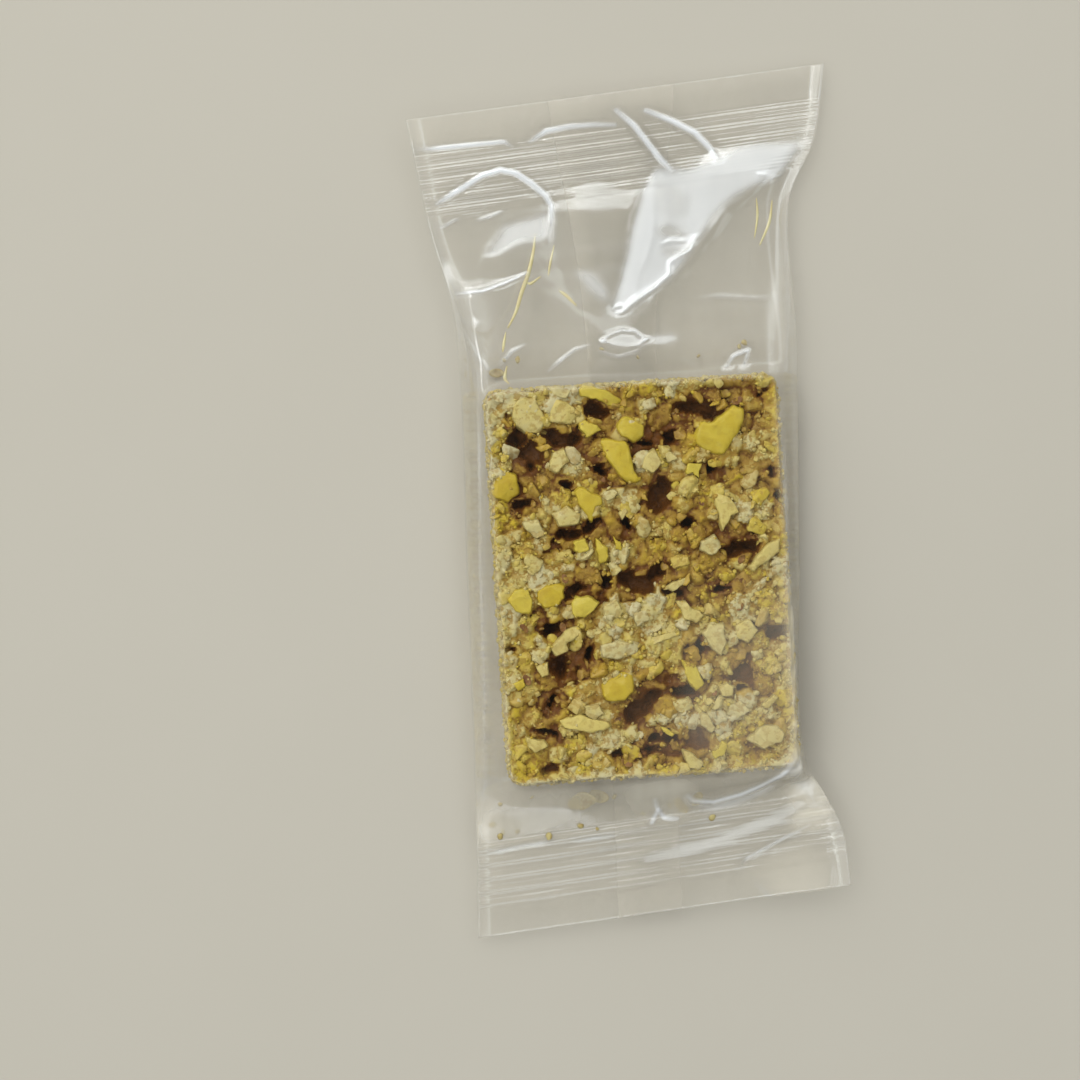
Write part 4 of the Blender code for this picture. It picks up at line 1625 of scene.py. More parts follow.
LOW_FOLDS = (
    Fold(((690, 800, 0.1), (697, 806, 0.22), (717, 808, 0.26), (745, 800, 0.27), (765, 790, 0.27),
        (784, 779, 0.26), (795, 768, 0.1)), 0.85, 0.85),
    Fold(((657, 804, 0.1), (661, 816, 0.24), (655, 829, 0.16)), 0.7, 0.7),
    Fold(((661, 816, 0.24), (668, 824, 0.22), (681, 825, 0.12)), 0.7, 0.7),
    Fold(((482, 860, 0.0), (500, 858, 0.12), (520, 853, 0.10), (540, 850, 0.12), (560, 846, 0.0)),
        0.5, 0.5),
    Fold(((575, 848, 0.05), (595, 845, 0.12), (615, 842, 0.05))),
    Fold(((744, 877, 0.0), (752, 866, 0.10), (790, 845, 0.12), (816, 832, 0.05))),
    Fold(((752, 882, 0.0), (775, 905, 0.10), (812, 945, 0.06))),
    Fold(((484, 798, 0.0), (484, 820, 0.04), (486, 850, 0.0)), 0.6, 0.6),
    Fold(((800, 770, 0.0), (812, 790, 0.12), (822, 812, 0.04)), 0.7, 0.7),
)
SIDE_FOLDS = (
    Fold(((793, 230, 0.0), (798, 300, 0.10), (800, 400, 0.08), (804, 520, 0.10), (808, 640, 0.0)),
        0.6, 0.6),
    Fold(((806, 330, 0.0), (808, 420, 0.09), (811, 540, 0.07), (812, 660, 0.09), (814, 740, 0.0)),
        0.5, 0.5),
    Fold(((478, 370, 0.05), (479, 450, 0.14), (480, 560, 0.12), (484, 700, 0.14), (483, 800, 0.08)),
        0.5, 0.5),
    Fold(((462, 330, 0.0), (465, 450, 0.08), (470, 600, 0.06), (474, 760, 0.0))),
)


@dataclass(frozen=True)
class PacketForm:
    """The form of the packet's film, as its solid has it."""

    bar: BarForm = BarForm()
    top_seal: float = 62.5 * MM
    low_seal: float = -64.5 * MM
    ridges: int = 5
    pitch: float = 2.8 * MM
    top_tail: float = 6.5 * MM
    low_tail: float = 5.5 * MM
    slant: float = math.radians(6.3)
    fin: float = 4.6 * MM
    top_curl: float = 2.2 * MM
    low_curl: float = -1.6 * MM
    top_puff: float = 1.0 * MM
    low_puff: float = 1.2 * MM
    lobe: float = 0.4 * MM
    dome: float = 4.5
    free_side: float = 0.12
    half_width: float = 42.5 * MM
    body_half_width: float = 34.0 * MM
    left_edge: Points = ((-84.0, -33.8), (-64.0, -33.4), (-15.0, -33.5), (38.0, -34.0), (62.0, -38.8),
                         (83.0, -42.5))
    right_edge: Points = ((-84.0, 42.5), (-72.0, 41.0), (-61.0, 36.2), (-48.0, 33.3), (-15.0, 34.1),
                          (32.0, 34.9), (56.0, 34.2), (68.0, 39.8), (83.0, 42.5))

    @property
    def top(self) -> float:
        """The station of the top tail's end."""
        return self.top_seal + self.ridges * self.pitch + self.top_tail

    @property
    def low(self) -> float:
        """The station of the lower tail's end."""
        return self.low_seal - self.ridges * self.pitch - self.low_tail

    @property
    def bar_top(self) -> float:
        """The station of the bar's upper end."""
        return self.bar.middle[1] + self.bar.length / 2

    @property
    def bar_low(self) -> float:
        """The station of the bar's lower end."""
        return self.bar.middle[1] - self.bar.length / 2

    def left(self, station: Array) -> Array:
        """Returns the film's left edge at stations."""
        return through(self.left_edge, station / MM) * MM

    def right(self, station: Array) -> Array:
        """Returns the film's right edge at stations."""
        return through(self.right_edge, station / MM) * MM

    def past_bar(self, station: Array) -> Array:
        """Returns how far stations lie from the bar's end to the seal: 0 on the bar, 1 in the seal."""
        above = (station - self.bar_top) / (self.top_seal - self.bar_top)
        below = (self.bar_low - station) / (self.bar_low - self.low_seal)
        return np.clip(np.maximum(above, below), 0, 1)

    def _ridge(self, station: Array) -> Array:
        """Returns how many ridges stations lie past the start of the seal at their end."""
        start = np.where(station > 0, self.top_seal, -self.low_seal)
        return (np.abs(station) - start) / self.pitch

    def _sealed(self, station: Array, steep: float, lead: float) -> Array:
        """Returns 1 in the seals and 0 elsewhere, with ends this steep that start this early."""
        ridge = self._ridge(station)
        return eased(ridge * steep + lead) * eased((self.ridges - ridge) * steep + lead)

    def in_seal(self, station: Array) -> Array:
        """Returns 1 in the seals and 0 elsewhere, with soft ends."""
        return self._sealed(station, 3, 0.5)

    def slope(self, station: Array) -> Array:
        """Returns how steeply the rows rise to the right at stations."""
        share = eased(self.past_bar(station))
        return np.tan(self.bar.turn + (self.slant - self.bar.turn) * share)

    def middle_height(self, x: Array, station: Array) -> Array:
        """Returns the height of the pressed film, which curls a little to the packet's corners."""
        curl = np.where(station > 0, self.top_curl, self.low_curl)
        reach = self.top - self.top_seal
        beyond = np.clip((np.abs(station) - self.top_seal) / reach, 0, 1)
        return self.fin - curl * x / self.half_width * eased(self.past_bar(station)) * (0.5 + 0.5 * beyond)

    def fullness(self, x: Array, station: Array) -> Array:
        """Returns how full the packet is: 1 over the bar and 0 at the film's edges."""
        left, right = self.left(station), self.right(station)
        lean = (self.bar.middle[1] - station) * math.tan(self.bar.turn)
        held = 1 - 0.5 * eased(self.past_bar(station))
        bar_left = self.bar.middle[0] - self.bar.width / 2 + lean
        bar_right = self.bar.middle[0] + self.bar.width / 2 + lean
        margin = self.free_side * (right - left)
        inner_left, inner_right = left + margin, right - margin
        bar_left = inner_left + (bar_left - inner_left) * held
        bar_right = inner_right + (bar_right - inner_right) * held
        flank = np.maximum((bar_left - x) / (bar_left - left), (x - bar_right) / (right - bar_right))
        straight = 1 - np.clip(flank, 0, 1) ** 1.25
        across = np.abs(2 * x - left - right) / (right - left)
        domed = 1 - np.clip(across, 0, 1) ** self.dome
        return straight + (domed - straight) * eased(1.3 * self.past_bar(station))

    def above(self, x: Array, station: Array) -> Array:
        """Returns the height of the upper film without its folds and ridges."""
        share, full = self.past_bar(station), self.fullness(x, station)
        middle = self.middle_height(x, station)
        puff = np.where(station > 0, self.top_puff, self.low_puff)
        rise = (self.bar.face - 0.9 * MM - middle + 4 * puff * share * (1 - share)) * (1 - share)
        lobe = np.where(station > 0, self.lobe, 0) * np.sin(math.pi * share)
        lobes = -lobe * np.cos(2 * math.pi * x / self.body_half_width)
        return middle + (rise + lobes) * full

    def below(self, x: Array, station: Array) -> Array:
        """Returns the height of the lower film without its folds and ridges."""
        share, full = self.past_bar(station), self.fullness(x, station)
        middle = self.middle_height(x, station)
        return middle - (middle - middle * share ** 1.4) * full

    def crimp(self, x: Array, station: Array, depth: float) -> Array:
        """Returns the ridges pressed in the seals, with finer lines between them.

        Args:
            x: places across the packet.
            station: places along it.
            depth: how deep the ridges are.

        Returns:
            Heights round 0, which are 0 outside the seals.
        """
        ridge = self._ridge(station)
        wave = np.abs(ridge % 1.0 - 0.5) * 4 - 1
        fine = np.sin(2 * math.pi * ridge * 4)
        strength = 0.7 + 0.5 * soft_noise(x, station, 9 * MM, 61)
        return self._sealed(station, 4, 0.0) * depth * (-0.5 * wave * strength + 0.12 * fine)


def risen(across: Array, along: Array, cell: float, reach: float) -> Array:
    """Finds the heights whose slopes come closest to those wanted, and which level out further off.

    Args:
        across: wanted slopes across, on a grid.
        along: wanted slopes along, on the same grid.
        cell: the grid's spacing.
        reach: how far off the heights level out.

    Returns:
        The heights on the grid.
    """
    u = 2 * math.pi * np.fft.fftfreq(across.shape[0], cell)[:, None]
    v = 2 * math.pi * np.fft.fftfreq(across.shape[1], cell)[None, :]
    wanted = 1j * u * np.fft.fft2(across) + 1j * v * np.fft.fft2(along)
    return np.fft.ifft2(-wanted / (u * u + v * v + 1 / reach ** 2)).real


@dataclass(frozen=True)
class Field:
    """Heights on a regular grid that can be read anywhere."""

    low: tuple[float, float]
    cell: float
    height: Array

    def at(self, x: Array, y: Array) -> Array:
        """Reads the grid.

        Args:
            x: places across.
            y: places along.

        Returns:
            The heights there.
        """
        u, v = (np.clip((place - start) / self.cell, 0, size - 1.001)
                for place, start, size in zip((x, y), self.low, self.height.shape))
        i, j = u.astype(int), v.astype(int)
        return between_corners(self.height, (i, i + 1), (j, j + 1), (u - i, v - j))


def quads_between(number: Array) -> Array:
    """Returns the four-cornered faces, seen from above, between a sheet's numbered points."""
    corners = (number[:-1, :-1], number[:-1, 1:], number[1:, 1:], number[1:, :-1])
    return np.stack(corners, axis=-1).reshape(-1, 4)


@dataclass
class Film:
    """The clear film: an upper and a lower sheet, closed along the sides and both tails."""

    form: PacketForm = PacketForm()
    photo: PhotoScale = PACKET_PHOTO
    coarse: int = 8
    columns: int = 177
    rows: int = 470
    edge: float = 4 * MM
    taut_rounds: int = 500
    gap: float = 0.10 * MM
    crimp_depth: float = 0.36 * MM
    rest: float = 0.10 * MM
    cell: float = 0.4 * MM
    reach: float = 9 * MM
    rounds: int = 8
    pull: float = 0.8
    extent: tuple[float, float] = (50 * MM, 96 * MM)
    samples: int = 4000
    overhang: float = 0.6 * MM
    steep_slope: float = 0.2
    veil_blur: int = 24
    glare_blur: int = 5
    seam_rows: int = 360
    seam_columns: int = 33
    seam_left: Points = ((-84, -5.0), (-30, -5.5), (40, -8.0), (83, -14.0))
    seam_right: Points = ((-84, 8.0), (-30, 7.5), (40, 7.0), (83, 12.0))
    seam_rise: float = 0.16 * MM
    seam_room: float = 0.08 * MM
    seam_thickness: float = 0.05 * MM
    lift: Field = field(init=False)
    facets: Field = field(init=False)
    steep: Field = field(init=False)
    haze_and_painted_light: Field = field(init=False)
    painted_glares: Field = field(init=False)
    roof: Array = field(init=False)

    def _stations(self) -> Array:
        """Returns the rows' stations, which are closest in the seals and close above the bar."""
        fine = np.linspace(self.form.low, self.form.top, self.samples)
        pocket = (fine < self.form.bar_low + 2 * MM) & (fine > self.form.low_seal)
        weight = 1 + 1.6 * self.form.in_seal(fine) + 0.7 * (fine > self.form.bar_top) + pocket
        total = np.cumsum(weight)
        return np.interp(np.linspace(total[0], total[-1], self.rows), total, fine)

    def _drape(self, surface: list[Array]) -> Field:
        """Lays the film over the bar, taut from one high nut to the next and down to the sides.

        Args:
            surface: rows of points on the pieces under the film.

        Returns:
            The film's heights over the bar and a little round it.
        """
        points = np.vstack(surface)
        low = points[:, :2].min(axis=0) - self.edge
        shape = ((points[:, :2].max(axis=0) + self.edge - low) / self.cell).astype(int) + 1
        height = np.zeros(shape)
        i, j = np.rint((points[:, :2] - low) / self.cell).astype(int).T
        np.maximum.at(height, (i, j), points[:, 2])
        x, y = np.meshgrid(*(low[n] + self.cell * np.arange(shape[n]) for n in (0, 1)), indexing="ij")
        base = self.form.above(x, y - x * self.form.slope(y))
        outside = self.form.bar.inside(*self.form.bar.from_packet(x, y)) < -self.overhang
        held = np.where(outside, base, spread(height, 1) + self.rest)
        sheet = np.where(outside, base, self.form.bar.face)
        for _ in range(self.taut_rounds):
            padded = np.pad(sheet, 1, mode="edge")
            beside = padded[2:, 1:-1] + padded[:-2, 1:-1] + padded[1:-1, 2:] + padded[1:-1, :-2]
            sheet = np.where(outside, base, np.maximum(held, beside / 4))
        return Field(tuple(low), self.cell, blurred(sheet, 3) + 0.03 * MM)

    def _crease(self) -> None:
        """Finds the facets, the steep ones, the milky haze with its painted light, the painted glare, and
        the lift of the film.
        """
        wide, long = self.extent
        x, y = np.meshgrid(np.arange(-wide, wide, self.cell), np.arange(-long, long, self.cell),
                           indexing="ij")
        station = y - x * self.form.slope(y)
        form_across, form_along = np.gradient(self.form.above(x, station), self.cell)
        share, steep, across, along = (np.zeros(x.shape) for _ in range(4))
        for facet in FACETS:
            inside = blurred(within(facet.pixels, x, y, self.photo), 2) * (1 - share)
            share += inside
            steep += inside * (math.hypot(facet.across, facet.along) > self.steep_slope)
            across += inside * (facet.across - form_across)
            along += inside * (facet.along - form_along)
        pull_across, pull_along = across.copy(), along.copy()
        for _ in range(self.rounds):
            lift = risen(pull_across, pull_along, self.cell, self.reach)
            lift_across, lift_along = np.gradient(lift, self.cell)
            pull_across += self.pull * (across - share * lift_across)
            pull_along += self.pull * (along - share * lift_along)
        haze_and_painted_light, painted_glares = (
            sum(blurred(within(veil.pixels, x, y, self.photo), rounds) * veil.white for veil in each)
            for each, rounds in ((HAZE_AND_PAINTED_LIGHT, self.veil_blur), (PAINTED_GLARES, self.glare_blur))
        )
        self.lift, self.facets, self.steep, self.haze_and_painted_light, self.painted_glares = (
            Field((-wide, -long), self.cell, values) for values in (lift, share, steep, haze_and_painted_light, painted_glares)
        )

    def build(self, surface: list[Array]) -> bpy.types.Object:
        """Builds the film over the pieces in it.

        Args:
            surface: rows of points on the pieces under the film.

        Returns:
            The film.
        """
        form = self.form
        station, share = np.meshgrid(self._stations(), np.linspace(0, 1, self.columns), indexing="ij")
        left, right = form.left(station), form.right(station)
        x = left + (right - left) * share
        y = station + x * form.slope(station)
        upper = form.above(x, station)
        inner = eased(np.minimum(share, 1 - share) * 14)
        folds = sum(fold.height(x, y, self.photo) for fold in TOP_FOLDS + LOW_FOLDS + SIDE_FOLDS)
        self._crease()
        painted = self.facets.at(x, y)
        creased = np.clip(spread(folds, 2) / (0.08 * MM), 0, 1)
        smooth = (1 - painted) * (1 - 0.85 * creased)
        crinkle = self._crinkle(x, y, station) * (1 - 0.7 * painted)
        upper += (self.lift.at(x, y) + folds + crinkle) * inner
        covered = self._drape(surface).at(x, y) + (folds + 0.3 * crinkle) * inner
        bx, by = form.bar.from_packet(x, y)
        over = eased((form.bar.inside(bx, by) + 2.0 * MM) / (2.5 * MM))
        upper = np.where(over > 0, np.maximum(upper, covered * over + upper * (1 - over)), upper)
        ridges = form.crimp(x, station, self.crimp_depth) * smooth
        upper += ridges + self.gap / 2
        self.roof = -spread(-upper, 2)
        lower = self._held_under(upper, form.below(x, station) + ridges)
        few = slice(None, None, self.coarse)
        obj = self._skin(np.dstack((x, y, upper)), np.dstack((x, y, lower))[:, few])
        pressed = form.in_seal(station) * smooth
        dull = self._dull(x, y, station, share) * (1 - np.maximum(self.steep.at(x, y), creased))
        # Painted highlights: white along the fold crests and in the glare outlines, where the film's own
        # gloss is dulled
        line = 0.80 * np.clip(folds / (0.20 * MM), 0, 1) ** 1.5 * inner
        white = np.clip(self.painted_glares.at(x, y) * inner, 0, 0.75)
        dull = np.maximum(dull, 1.8 * white * (1 - creased))
        white = np.maximum(line, white)
        across = np.gradient(upper, axis=1) / np.gradient(x, axis=1)
        along = np.gradient(upper, axis=0) / np.gradient(y, axis=0)
        sheer = eased((np.hypot(across, along) - 0.5) / 1.2)
        haze = self._haze(x, y, station) * (1 - 0.65 * sheer)
        over_all = {"haze": haze, "white": white, "station": station, "pressed": pressed, "dull": dull}
        under = {"haze": self._back_haze(x, y, station), "white": 0 * white, "station": station,
                 "pressed": 0.5 * pressed, "dull": 0.4 * dull}
        keep(obj, **{name: np.concatenate((values.ravel(), under[name][:, few].ravel()))
                     for name, values in over_all.items()})
        return obj

    def _held_under(self, upper: Array, wanted: Array) -> Array:
        """Holds the lower sheet under the upper one and above the ground.

        Args:
            upper: the upper sheet's heights.
            wanted: the lower sheet's heights as they would be by themselves.

        Returns:
            The lower sheet's heights.
        """
        wide = np.pad(upper, ((0, 0), (self.coarse, self.coarse)), mode="edge")
        beside = np.lib.stride_tricks.sliding_window_view(wide, 2 * self.coarse + 1, axis=1).min(axis=-1)
        return np.maximum(np.minimum(wanted, beside - 1.5 * self.gap), 0.0)

    def _crinkle(self, x: Array, y: Array, station: Array) -> Array:
        """Returns the film's fine wrinkles, which run along the packet and fade in the seals."""
        long_waves = soft_noise(x, y, 13 * MM, 71) * 0.30 * MM
        creases = np.abs(soft_noise(x, y * 0.35, 4.2 * MM, 72)) * 0.16 * MM
        fine = np.abs(soft_noise(x * 0.6 + y * 0.4, y * 0.5, 1.9 * MM, 73)) * 0.04 * MM
        puffed = np.sin(math.pi * self.form.past_bar(station))
        bands = soft_noise(x * 0.2, station, 2.4 * MM, 74) * 0.09 * MM * puffed
        return (long_waves + creases + fine) * (0.35 + 0.65 * puffed) + bands

    def _haze(self, x: Array, y: Array, station: Array) -> Array:
        """Returns how white the upper sheet is at each of its vertices."""
        form = self.form
        past = eased((form.past_bar(station) - 0.93) / 0.07)
        lines = form.crimp(x, station, 1.0)
        clouds = soft_share(x, y, 12 * MM, 81)
        streaks = soft_share(x, y * 0.2, 1.5 * MM, 82)
        bx, by = form.bar.from_packet(x, y)
        milky = eased((bx / form.bar.width - by / form.bar.length + 0.05) / 0.9)
        over_bar = eased(form.bar.inside(bx, by) / (1.5 * MM))
        haze = (0.07 + 0.07 * clouds + 0.04 * streaks) * (1 - 0.95 * over_bar)
        haze *= 1 - 0.4 * form.in_seal(station)
        haze += 0.10 * milky * clouds * over_bar + past * (0.02 + 0.07 * lines)
        # The milky patches, raised beside and below the bar as painted light
        return np.clip(haze + self.haze_and_painted_light.at(x, y) * (0.7 + 0.6 * clouds), 0, 1)

    def _dull(self, x: Array, y: Array, station: Array, share: Array) -> Array:
        """Returns how dull the film is: most along the bar's edges, its own sides and over the bar."""
        inside = self.form.bar.inside(*self.form.bar.from_packet(x, y))
        rim = eased((inside + 3.0 * MM) / (1.5 * MM)) * eased((3.5 * MM - inside) / (1.5 * MM))
        flank = 1 - eased((np.minimum(share, 1 - share) - 0.07) / 0.08)
        seal = self.form.in_seal(station) * np.where(station > 0, 0.50, 0.55)
        pocket = 0.6 * eased(8 * self.form.past_bar(station)) * (1 - self.form.in_seal(station))
        return np.maximum.reduce((0.85 * rim, 0.65 * flank, seal, pocket, 0.96 * eased(inside / (1 * MM))))

    def _back_haze(self, x: Array, y: Array, station: Array) -> Array:
        """Returns how white the lower sheet is at each of its vertices."""
        return 0.03 + 0.04 * soft_share(x, y, 9 * MM, 83) + 0.08 * self.form.in_seal(station)

    def _skin(self, top: Array, bottom: Array) -> bpy.types.Object:
        """Makes the closed mesh of both sheets, of which the lower has fewer columns.

        Args:
            top: the upper sheet's points, row by row.
            bottom: the lower sheet's points, row by row.

        Returns:
            The film's object.
        """
        high = np.arange(top.shape[0] * top.shape[1]).reshape(top.shape[:2])
        low = np.arange(bottom.shape[0] * bottom.shape[1]).reshape(bottom.shape[:2]) + high.size
        over, under = quads_between(high), quads_between(low)[:, ::-1]
        left = np.column_stack((high[1:, 0], low[1:, 0], low[:-1, 0], high[:-1, 0]))
        right = np.column_stack((high[:-1, -1], low[:-1, -1], low[1:, -1], high[1:, -1]))
        faces = [face for part in (over, under, left, right) for face in part.tolist()]
        for first in range(low.shape[1] - 1):
            span = slice(first * self.coarse, (first + 1) * self.coarse + 1)
            faces.append(high[0, span][::-1].tolist() + [low[0, first], low[0, first + 1]])
            faces.append(high[-1, span].tolist() + [low[-1, first + 1], low[-1, first]])
        points = np.vstack((top.reshape(-1, 3), bottom.reshape(-1, 3)))
        return new_piece("clear_film", points, faces, FilmFinish().material())

    def seam(self) -> bpy.types.Object:
        """Builds the lap of the back seam: a second strip of film that lies on the lower sheet.

        Returns:
            The strip.
        """
        form = self.form
        station, share = np.meshgrid(np.linspace(form.low, form.top, self.seam_rows),
                                     np.linspace(0, 1, self.seam_columns), indexing="ij")
        left, right = (through(edge, station / MM) * MM for edge in (self.seam_left, self.seam_right))
        x = left + (right - left) * share
        wave = 0.08 * MM * soft_noise(x, station, 4 * MM, 91)
        edge = 0.04 * MM * np.abs(2 * share - 1) ** 6
        z = form.below(x, station) + self.seam_rise + np.abs(wave) + edge
        z += form.crimp(x, station, self.crimp_depth)
        row = np.interp(station, self._stations(), np.arange(self.rows))
        column = (x - form.left(station)) / (form.right(station) - form.left(station)) * (self.columns - 1)
        roof = self.roof[np.rint(row).astype(int), np.rint(column).astype(int)]
        points = np.dstack((x, station + x * form.slope(station), np.minimum(z, roof - self.seam_room)))
        faces = quads_between(np.arange(station.size).reshape(station.shape)).tolist()
        obj = new_piece("back_seam", points, faces, FilmFinish("seam_film", gloss_share=0.4).material())
        keep(obj, haze=0.05 + 0.07 * soft_share(x, station, 6 * MM, 92), white=0 * station,
             station=station, pressed=form.in_seal(station), dull=0.5 + 0 * station)
        thicken(obj, self.seam_thickness, 1.0)
        obj.data.shade_smooth()
        return obj


# What lies loose in the packet


@dataclass(frozen=True)
class Thread:
    """A thin thread of honey that clings to the film: its line in the photograph and its thickness."""

    pixels: Points
    thick: float = 0.55 * MM


THREADS = (
    Thread(((536, 232), (534, 250), (529, 272), (522, 292), (516, 312), (508, 328)), 0.85 * MM),
    Thread(((541, 276), (531, 283), (526, 281)), 0.6 * MM),
    Thread(((560, 290), (567, 295), (577, 305)), 0.7 * MM),
    Thread(((506, 332), (504, 344), (503, 352)), 0.6 * MM),
    Thread(((507, 366), (505, 378), (509, 384)), 0.7 * MM),
    Thread(((555, 244), (551, 262), (549, 275)), 0.5 * MM),
    Thread(((775, 198), (772, 220), (762, 244)), 0.6 * MM),
    Thread(((759, 196), (760, 214), (757, 236)), 0.5 * MM),
)
LOOSE_SPOTS = ((488, 842), (498, 846), (493, 834), (520, 838), (545, 836), (575, 830), (604, 836),
               (640, 822), (668, 818), (700, 820), (508, 812), (535, 806), (622, 806), (505, 352),
               (520, 360), (598, 356), (650, 352), (700, 350), (745, 352), (760, 340))
LOOSE_FLAKES = ((584, 808, 6.0), (601, 804, 4.2), (684, 812, 3.6), (497, 372, 3.0), (702, 806, 3.2))


@dataclass
class Scraps:
    """What lies loose in the packet beside the bar: crumbs, curled flakes and threads of honey."""

    wrap: Film
    photo: PhotoScale = PACKET_PHOTO
    sides: int = 8
    steps: int = 26
    under_film: float = 0.55 * MM
    over_film: float = 0.3 * MM
    crumb_shapes: Shapes = (5, 4, 120, 0.7)
    crumb_spread: tuple[float, float] = (7, 3.0)
    crumb_size: tuple[float, float] = (0.7, 1.7)
    lean: float = 0.5
    seed: int = 23

    def _floor(self, x: Array, y: Array) -> Array:
        """Returns the height of the lower film's inner side."""
        form = self.wrap.form
        return form.below(x, y - x * form.slope(y)) + self.over_film

    def _thread(self, thread: Thread) -> bpy.types.Object:
        """Models one thread: a cylinder cut into rings, which are laid along the thread's line.

        Args:
            thread: the thread's line and thickness.

        Returns:
            The thread.
        """
        deselect()
        bpy.ops.mesh.primitive_cylinder_add(vertices=self.sides, radius=0.5, depth=1.0)
        part = bpy.context.object
        bpy.ops.object.mode_set(mode="EDIT")
        for ring in range(1, self.steps):
            bpy.ops.mesh.select_all(action="SELECT")
            bpy.ops.mesh.bisect(plane_co=(0, 0, ring / self.steps - 0.5), plane_no=(0, 0, 1))
        bpy.ops.object.mode_set(mode="OBJECT")
        points = corners_of(part)
        along = (points[:, 2] + 0.5) * (len(thread.pixels) - 1)
        line = self.photo.places(thread.pixels)
        knots = np.arange(len(line), dtype=float)
        x, y = (through(np.column_stack((knots, places)), along) for places in line.T)
        ahead = line[-1] - line[0]
        side = np.array((ahead[1], -ahead[0])) / np.hypot(*ahead)
        slim = thread.thick * (0.35 + 0.65 * np.sin(math.pi * (points[:, 2] + 0.5)))
        x, y = x + side[0] * points[:, 0] * slim, y + side[1] * points[:, 0] * slim
        form = self.wrap.form
        film = form.above(x, y - x * form.slope(y)) + self.wrap.lift.at(x, y)
        z = film - self.under_film + 0.5 * points[:, 1] * slim
        set_corners(part, np.column_stack((x, y, z)))
        return part

    def threads(self) -> bpy.types.Object:
        """Builds the threads of honey, which cling to the upper film's inner side.

        Returns:
            The piece.
        """
        parts = [self._thread(thread) for thread in THREADS]
        deselect()
        for part in parts:
            part.select_set(True)
        bpy.context.view_layer.objects.active = parts[0]
        bpy.ops.object.join()
        obj = bpy.context.object
        obj.name = obj.data.name = "honey_threads"
        obj.data.shade_smooth()
        obj.data.materials.append(HoneyFinish().material())
        return obj

    def crumbs(self) -> bpy.types.Object:
        """Builds the loose crumbs and the curled flakes at the bar's lower end, painted darker at their
        bottoms and lighter at their tops as shade and light.

        Returns:
            The piece.
        """
        draw = random.Random(self.seed)
        chopper = Chopper(draw)
        crumbs = chopper.chunks(self.crumb_shapes)
        flake = skin_flake()
        far_x, far_y = self.crumb_spread
        spots = [(draw.gauss(x, far_x), draw.gauss(y, far_y), draw.uniform(*self.crumb_size) * MM,
                  draw.choice(crumbs)) for x, y in LOOSE_SPOTS]
        spots += [(x, y, size * MM, flake) for x, y, size in LOOSE_FLAKES]
        heap = Heap()
        for px, py, size, model in spots:
            x, y = self.photo.places([(px, py)])[0]
            points = tumbled(model, size, draw, self.lean, "X")
            floor = float(self._floor(np.array([x]), np.array([y]))[0])
            points += np.array((x, y, floor - points[:, 2].min()))
            # Painted light and shade: each crumb's tone rises from its bottom, where it lies on the film,
            # to its top
            high = (points[:, 2] - floor) / max(np.ptp(points[:, 2]), 1e-6)
            heap.put(model, points, draw.uniform(0.1, 0.5) + 0.5 * high, draw.uniform(0, 0.4))
        still = BarForm(middle=(0.0, 0.0), turn=0.0)
        return heap.build("loose_crumbs", still, LOOSE_NUT.material())


# The studio


@dataclass(frozen=True)
class RoomLight:
    """The soft light of the room: a ring of white light, dim overhead, stronger at one side.

    The rings are pairs of height, which is 1 overhead and 0 at the horizon, and brightness.
    """

    name: str = "soft_room"
    tint: Colour = (0.95, 0.985, 1.0)
    rings: tuple[tuple[float, float], ...] = ((0.0, 0.40), (0.50, 0.50), (0.70, 1.0), (0.80, 2.6),
                                              (0.875, 2.6), (0.91, 0.80), (0.945, 0.10))
    brightest: float = 2.6
    side: tuple[float, float] = (-0.52, 0.60)

    def world(self) -> bpy.types.World:
        """Returns the light as a world."""
        paint = Paint(bpy.data.worlds.new(self.name))
        way = paint.add("ShaderNodeTexCoord", output="Generated")
        across, along, up = (
            paint.add("ShaderNodeSeparateXYZ", inputs={0: way}, output=axis) for axis in range(3)
        )
        stops = [(height, (bright / self.brightest,) * 3) for height, bright in self.rings]
        ring = paint.ramp(up, stops) * self.brightest
        lean = across * self.side[0] + along * self.side[1] + 1.0
        glow = {"Color": (*self.tint, 1.0), "Strength": ring * lean}
        return paint.finish(paint.add("ShaderNodeBackground", inputs=glow))


@dataclass(frozen=True)
class Softbox:
    """A square soft light: where it hangs, how wide it is and how bright."""

    name: str
    place: tuple[float, float, float]
    size: float
    power: float
    colour: Colour = (1.0, 1.0, 1.0)


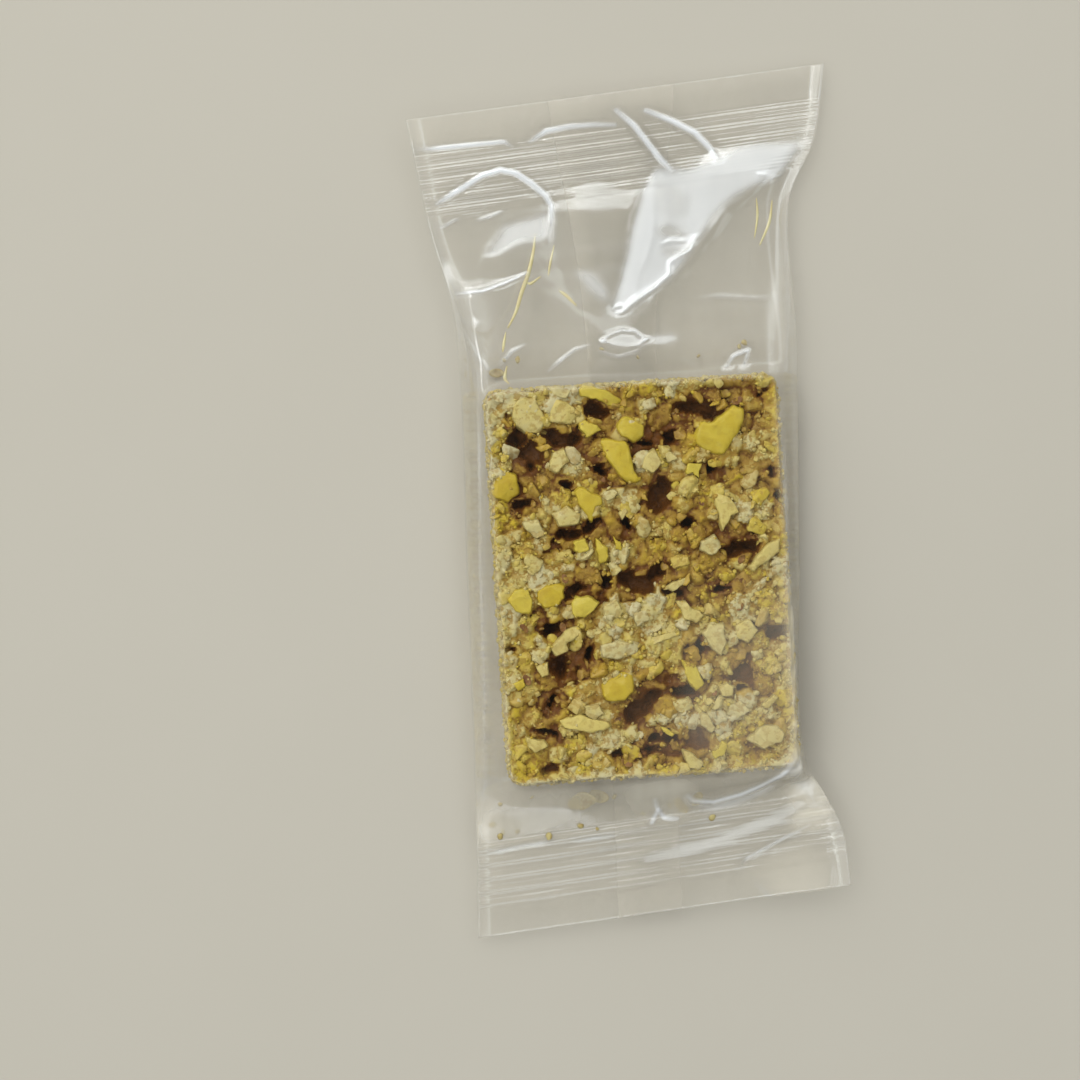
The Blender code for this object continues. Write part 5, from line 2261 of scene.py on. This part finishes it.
@dataclass
class Studio:
    """The floor, the lights and the camera."""

    lens: float = 85.0
    sensor: float = 36.0
    view_width: float = 0.216
    aim: tuple[float, float, float] = (-18.64 * MM, -6.55 * MM, 11 * MM)
    roll: float = math.radians(2.0)
    lean: tuple[float, float] = (-0.03, 0.04)
    clip: tuple[float, float] = (0.01, 20.0)
    floor_size: float = 6.0
    floor_drop: float = 0.3 * MM
    boxes: tuple[Softbox, ...] = (Softbox("window", (-0.55, 0.75, 0.62), 1.0, 5.0, (1.0, 0.99, 0.96)),)

    def _light(self, box: Softbox) -> None:
        """Hangs a softbox that faces the packet."""
        light = bpy.data.lights.new(box.name, "AREA")
        light.shape, light.size, light.energy, light.color = "SQUARE", box.size, box.power, box.colour
        lamp = bpy.data.objects.new(box.name, light)
        lamp.location = box.place
        lamp.rotation_euler = (-Vector(box.place)).to_track_quat("-Z", "Y").to_euler()
        bpy.context.scene.collection.objects.link(lamp)

    def lights(self) -> None:
        """Lights the room and hangs the softboxes."""
        for box in self.boxes:
            self._light(box)
        bpy.context.scene.world = RoomLight().world()
        bpy.context.scene.view_settings.view_transform = "Standard"

    def floor(self) -> None:
        """Lays the pale floor."""
        deselect()
        bpy.ops.mesh.primitive_grid_add(x_subdivisions=4, y_subdivisions=4, size=self.floor_size,
                                        location=(0, 0, -self.floor_drop))
        floor = bpy.context.object
        floor.name = floor.data.name = "floor"
        floor.data.materials.append(FloorFinish().material())

    def camera(self) -> None:
        """Sets the camera over the packet, where the photograph was taken from."""
        data = bpy.data.cameras.new("camera")
        data.lens, data.sensor_width = self.lens, self.sensor
        camera = bpy.data.objects.new("camera", data)
        distance = self.view_width * self.lens / self.sensor
        back = Vector((*self.lean, 1.0)).normalized()
        camera.location = Vector(self.aim) + back * distance
        facing = (-back).to_track_quat("-Z", "Y").to_matrix()
        up_now = facing @ Vector((0, 1, 0))
        wanted = Vector((math.sin(self.roll), math.cos(self.roll), 0))
        turn = math.atan2(wanted.x, wanted.y) - math.atan2(up_now.x, up_now.y)
        camera.rotation_euler = (facing @ Matrix.Rotation(-turn, 3, "Z")).to_euler()
        data.clip_start, data.clip_end = self.clip
        bpy.context.scene.collection.objects.link(camera)
        bpy.context.scene.camera = camera


def main() -> None:
    """Builds the packet, its contents and the studio, hangs each piece on the root, logs its triangles and
    hides the packet's solid.
    """
    logging.basicConfig(level=logging.INFO, format="%(name)s: %(message)s")
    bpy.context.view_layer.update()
    studio = Studio()
    studio.camera()
    studio.floor()
    studio.lights()
    brittle = Brittle()
    pieces = [brittle.core(), *brittle.face_nuts(), *(brittle.scattered(kind) for kind in SCATTERS)]
    pieces += [brittle.side_crumbs(), brittle.flakes()]
    wrap = Film()
    film, seam = wrap.build(brittle.surface), wrap.seam()
    scraps = Scraps(wrap)
    pieces += [film, seam, scraps.threads(), scraps.crumbs()]
    for piece in pieces:
        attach(piece, "root")
        piece.data.calc_loop_triangles()
        LOG.info("%s: %d triangles", piece.name, len(piece.data.loop_triangles))
    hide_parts("packet")


if __name__ == "__main__":
    main()
